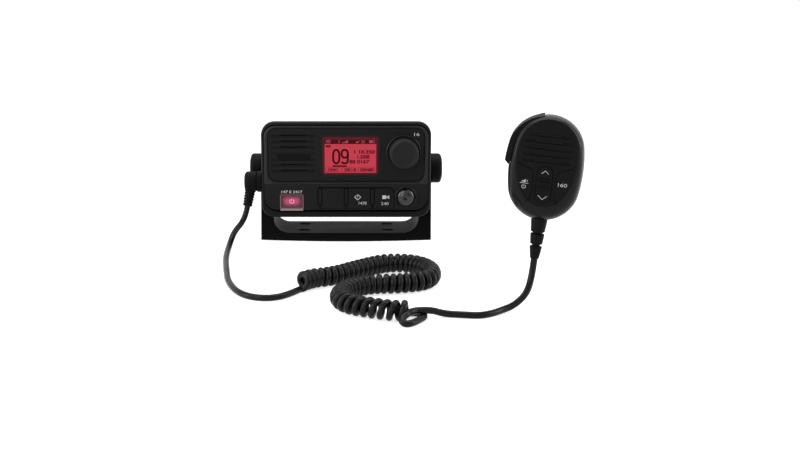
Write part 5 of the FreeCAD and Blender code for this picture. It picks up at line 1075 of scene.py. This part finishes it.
# ---------------------------------------------------------------- microphone
MIC_PLACE = (Matrix.Translation((163.0, -237.0, 116.6)) @ Matrix.Rotation(math.radians(-10), 4, "Z")
             @ Matrix.Rotation(math.radians(5), 4, "Y"))
MIC_OUTLINE = (30.4, 43.9, 29.2, 29.2, 0.0)      # half width, half height, top and foot radius, rise
MIC_RIM = (24.5, 36.1, 23.3, 19.2, 5.6)
MIC_BACK = (24.0, 36.4, 22.0, 20.5, 0.0)
MIC_FRONT_D, MIC_BACK_D = 13.0, 14.0
MIC_LEDGE = (24.0, 35.6, 22.8, 18.7, 5.6)       # inside the rim, where the face panel sits
TALK_HEAD = -5.65               # the talk bar runs from the left side up to here
SLOT_TOP, SLOT_PITCH = 29.5, 5.3                # the microphone's five sound openings
SLOT_HALF_TOP, SLOT_HALF = 15.18, 17.572        # half widths of the top one and of the others
MIC_FOOT = -41.7                # where the strain relief leaves the shells


def mic_ring(start, end, share, y):
    """Egg outline of the microphone between two others, at a depth."""
    return [Vector((x, y, z)) for x, z in egg(*[a + (b - a) * share for a, b in zip(start, end)])]


def mic_dome(end, depth, last_deg, steps):
    """Rings from the widest outline over the rounded shoulder to the end oval."""
    rings = []
    last = math.radians(last_deg)
    for i in range(steps + 1):
        angle = math.radians(last_deg * i / steps)
        share = (1 - math.cos(angle)) / (1 - math.cos(last))
        rings.append(mic_ring(MIC_OUTLINE, end, share, depth * math.sin(angle) / math.sin(last)))
    return rings


def talk_arc(grow, foot):
    """Stretch of the microphone's outline that the talk bar takes up, moved outwards by grow."""
    return [(x, z) for x, z in egg(*[a + grow for a in MIC_OUTLINE[:4]], 0) if z > foot and x < TALK_HEAD]


def talk_pocket():
    """Cutter for the talk bar's pocket on the upper left shoulder."""
    depth, foot = 7.85, -0.3
    grown, shrunk = talk_arc(5.5, foot), talk_arc(-4.2, foot)
    outline = [(TALK_HEAD, grown[0][1])] + grown + [(grown[-1][0], foot), (shrunk[-1][0], foot)] + shrunk[::-1]
    outline.append((TALK_HEAD, shrunk[0][1]))
    return skin("pocket", [[Vector((x, y, z)) for x, z in outline] for y in (-depth, depth)], sharp_deg=30)


def talk_pocket_back():
    """Black sheet painted as the shade against the back wall of the talk bar's pocket."""
    foot = 0.2
    outline = talk_arc(0.4, foot) + talk_arc(-6.2, foot)[::-1]
    return skin("web", [[Vector((x, y, z)) for x, z in outline] for y in (7.5, 7.8)], sharp_deg=30)


def carve(mesh, cutter, name):
    """Mesh with the cutter taken away."""
    body, tool = new_object(name, mesh), new_object("cutter", cutter)
    cut = body.modifiers.new("cut", "BOOLEAN")
    cut.object = tool
    cut.operation = "DIFFERENCE"
    cut.solver = "EXACT"
    made = evaluated(body)
    bpy.data.objects.remove(tool)
    made.shade_smooth()
    made.set_sharp_from_angle(angle=math.radians(35))
    return made


def mic_shells():
    """Polished front and rear shells, both carved for the talk bar, with black painted as the shade at the back of
    the pocket.
    """
    rim = mic_dome(MIC_RIM, -MIC_FRONT_D, 84, 12)
    rim += [mic_ring(MIC_RIM, MIC_RIM, 0, -MIC_FRONT_D - 0.02), mic_ring(MIC_LEDGE, MIC_LEDGE, 0, -MIC_FRONT_D),
            mic_ring(MIC_LEDGE, MIC_LEDGE, 0, -MIC_FRONT_D + 1.9)]
    front = carve(skin("mic_front", rim), talk_pocket(), "mic_front")
    dress("mic_front", front, SHELL_ABS, node="mic_front_shell", place=MIC_PLACE)
    back = [mic_ring(MIC_OUTLINE, MIC_BACK, 0.03, y) for y in (0.0, 0.25)]
    back += mic_dome(MIC_BACK, MIC_BACK_D, 78, 10)[1:]
    rear = carve(skin("mic_rear", back), talk_pocket(), "mic_rear")
    dress("mic_rear", rear, SHELL_ABS, node="mic_rear_shell", place=MIC_PLACE)
    # painted shade: a black sheet at the back of the talk bar's pocket
    dress("talk_pocket_web", talk_pocket_back(), SHADE_BLACK, body="microphone", place=MIC_PLACE)


def mic_boot():
    """Strain relief of three tapered links with necks between them."""
    corners = [(0, 0), (7.0, 0), (5.8, 12.2), (3.2, 12.9), (3.2, 13.6), (5.9, 14.4), (5.1, 22.6), (3.2, 23.3),
               (3.2, 24.4), (5.2, 25.2), (3.8, 34.5), (3.4, 35.5), (0, 35.5)]
    boot = turned("boot", soft_profile(corners, 0.5, 3), (0, 0, MIC_FOOT), (0, 0, -1))
    dress("mic_boot_soft", boot, RUBBER, node="mic_boot", place=MIC_PLACE)


def sound_slot(half, z, y):
    """Long slot with tapered ends."""
    corner, foot, head = half * 0.7, z - 0.45, z + 0.9
    return flat([(-half, z), (-corner, foot), (corner, foot), (half, z), (corner, head), (-corner, head)], y)


def mic_lines():
    """Black painted as the shade in the sound openings, black lines painted as the shadow in the gaps round the
    rocker and the side keys, and black bars painted as the shaded grooves of the rocker's grip.
    """
    # painted shade: black shapes inside the sound openings
    y = -MIC_FRONT_D + 0.8
    lines = [sound_slot(SLOT_HALF_TOP, SLOT_TOP, y),
             row(sound_slot(SLOT_HALF, SLOT_TOP - SLOT_PITCH, y), 4, (0.0, 0.0, -SLOT_PITCH), SHADE_BLACK)]
    # painted shadow: black lines in the gaps round the rocker and the side keys
    y = -MIC_FRONT_D - 0.2
    edge = [(12.6, -27.4), (11.9, -26.3), (9.75, -21.9), (9.85, -3.6), (10.3, -1.9), (11.4, -0.6), (13.0, 0.5),
            (22.4, 4.3)]
    for side in (-1, 1):
        lines.append(stroke([(side * x, z) for x, z in edge], 0.4, y))
    loop = [(point.x, point.z) for point in rounded_ring(-6.3, 6.3, -26.4, 3.6, 0, 6.0)]
    lines.append(stroke(loop + loop[:1], 0.45, y))
    dress("mic_lines", joined("mic_lines", lines), SHADE_BLACK, body="microphone", place=MIC_PLACE)
    # painted shade: black bars in the grooves of the rocker's grip
    y = -MIC_FRONT_D - 1.6
    grip = [row(bar(-4.6, 4.6, z, z + 0.35, y), 2, (0.0, 0.0, -2.2), SHADE_BLACK) for z in (-6.6, -13.8)]
    dress("rocker_grip", joined("rocker_grip", grip), SHADE_BLACK, body="rocker", place=MIC_PLACE)


def mic_prints():
    """Pad-printed chevrons on the rocker and the figures of its side keys."""
    y = -MIC_FRONT_D - 1.4
    chevrons = [stroke([(-3.9, foot), (0, tip), (3.9, foot)], 0.42, y) for foot, tip in ((-3.3, 0.1), (-20.2, -23.6))]
    dress("rocker_print", joined("rocker_print", chevrons), INK, body="rocker", place=MIC_PLACE)
    y = -MIC_FRONT_D - 0.92
    horn = [(-17.9, -9.9), (-16.6, -9.9), (-14.8, -8.3), (-14.8, -11.0), (-16.6, -10.7), (-17.9, -10.7)]
    left = [bar(-19.3, -12.3, -12.0, -11.6, y), flat(horn, y),
            stroke([(-13.8, -9.0), (-13.2, -9.8), (-13.8, -10.6)], 0.35, y)]
    left += power_symbol(-15.8, -14.6, 1.5, 0.42, y)
    dress("mic_left_print", joined("mic_left_print", left), INK, body="mic_left", place=MIC_PLACE)
    dress("mic_right_print", numerals("160", 11.2, 18.4, -11.6, -8.5, y), INK, body="mic_right", place=MIC_PLACE)


for build in (bezel, panel_trim, dial, volume, screen, grille_cloth, key_gap_shade_and_guard_glow, prints, plug):
    build()
for side in (-1, 1):
    tilt_knob(side)
for build in (mic_shells, mic_boot, mic_lines, mic_prints):
    build()

SOFT_EDGES = (                  # node, finish, and bevel in millimetres
    ("front_panel", PANEL, 0.18), ("gimbal_bracket", NYLON, 0.6), ("rear_chassis", POWDER, 0.5),
    ("alert_button", BUTTON_GLOW, 0.3), ("guard_flap", GUARD_CLEAR, 0.12), ("guard_lip", LIP_METAL, 0.12),
    ("divider_inserts", KEYCAP, 0.15), ("soft_key_1", KEYCAP, 0.25), ("soft_key_2", KEYCAP, 0.25),
    ("soft_key_3", KEYCAP, 0.25), ("mic_face_panel", INLAY, 0.2), ("mic_left_key", INLAY, 0.35),
    ("mic_right_key", INLAY, 0.35), ("rocker_key", INLAY, 0.4), ("ptt_button", INLAY, 0.9),
    ("mic_socket", NICKEL, 0.25), ("antenna_socket", NICKEL, 0.25), ("power_socket", HOUSING, 0.25),
    ("mic_hang_stud", STEEL, 0.25), ("friction_washers", RUBBER, 0.25),
)
for node, material, bevel in SOFT_EDGES:
    softened(node, material, bevel)


# ---------------------------------------------------------------- floor and light
WALL_LIGHT, CEILING_LIGHT, FLOOR_GLOW = 0.20, 1.0, 0.72
LAMPS = (                       # name, place, aimed at, width and height in metres, power in watts
    ("key_light", (-0.9, -1.0, 1.4), (0, -0.1, 0.05), 0.8, 0.6, 8),
    ("top_light", (0.1, 0.25, 1.5), (0.05, -0.1, 0.08), 1.6, 0.5, 14),
    ("right_light", (1.3, -0.2, 0.55), (0.12, -0.2, 0.1), 0.35, 1.0, 8),
    ("front_light", (-0.75, -1.15, 0.45), (-0.02, -0.08, 0.08), 0.6, 0.5, 3),
    ("left_light", (-1.3, -0.35, 0.5), (0, -0.15, 0.08), 0.45, 1.0, 9),
)


def backdrop_seen(tree):
    """1 for the rays that show the pale backdrop: from the camera, off a glossy face or through a clear one."""
    path = add(tree, "ShaderNodeLightPath")
    either = add(tree, "ShaderNodeMath", {0: path.outputs["Is Camera Ray"], 1: path.outputs["Is Glossy Ray"]},
                 operation="MAXIMUM")
    return add(tree, "ShaderNodeMath", {0: either.outputs[0], 1: path.outputs["Is Transmission Ray"]},
               operation="MAXIMUM").outputs[0]


def make_floor():
    """Matt floor that looks white and keeps the object's shadow, but lights it no more than grey card would."""
    half = 3.0                                  # metres, well past the picture on every side
    mesh = bpy.data.meshes.new("floor")
    mesh.from_pydata([(-half, -half, 0), (half, -half, 0), (half, half, 0), (-half, half, 0)], [], [(0, 1, 2, 3)])
    floor = new_object("floor", mesh)
    material = bpy.data.materials.new("white_floor")
    material.use_nodes = True
    tree = material.node_tree
    shader = tree.nodes["Principled BSDF"]
    shader.inputs["Roughness"].default_value = 0.9
    seen = backdrop_seen(tree)
    tone = add(tree, "ShaderNodeMix", {0: seen, 6: linear("#4a4a4a"), 7: linear("#b4b4b4")}, data_type="RGBA")
    tree.links.new(tone.outputs[2], shader.inputs["Base Color"])
    glow = add(tree, "ShaderNodeMath", {0: seen, 1: FLOOR_GLOW}, operation="MULTIPLY")
    shader.inputs["Emission Color"].default_value = (1, 1, 1, 1)
    tree.links.new(glow.outputs[0], shader.inputs["Emission Strength"])
    paint(floor, material)


def area_light(name, place, target, width, height, power):
    """Rectangular lamp that faces its target."""
    data = bpy.data.lights.new(name, "AREA")
    data.shape = "RECTANGLE"
    data.size = width
    data.size_y = height
    data.energy = power
    lamp = bpy.data.objects.new(name, data)
    lamp.location = place
    lamp.rotation_euler = (Vector(target) - Vector(place)).to_track_quat("-Z", "Y").to_euler()
    bpy.context.scene.collection.objects.link(lamp)


def make_world():
    """White surroundings: full behind the product, and for light only a bright ceiling over dim walls."""
    world = bpy.data.worlds.new("studio")
    world.use_nodes = True
    tree = world.node_tree
    background = tree.nodes["Background"]
    background.inputs["Color"].default_value = (1, 1, 1, 1)
    direction = add(tree, "ShaderNodeSeparateXYZ", {"Vector": add(tree, "ShaderNodeTexCoord").outputs["Generated"]})
    ceiling = add(tree, "ShaderNodeMapRange", {"Value": direction.outputs["Z"], "From Min": 0.1, "From Max": 0.9,
                                               "To Min": WALL_LIGHT, "To Max": CEILING_LIGHT},
                  interpolation_type="SMOOTHSTEP")
    seen = backdrop_seen(tree)
    level = add(tree, "ShaderNodeMix", {0: seen, 2: ceiling.outputs["Result"], 3: 1.0}, data_type="FLOAT")
    tree.links.new(level.outputs[0], background.inputs["Strength"])
    bpy.context.scene.world = world


make_floor()
make_world()
for lamp in LAMPS:
    area_light(*lamp)
bpy.context.scene.view_settings.view_transform = "Standard"
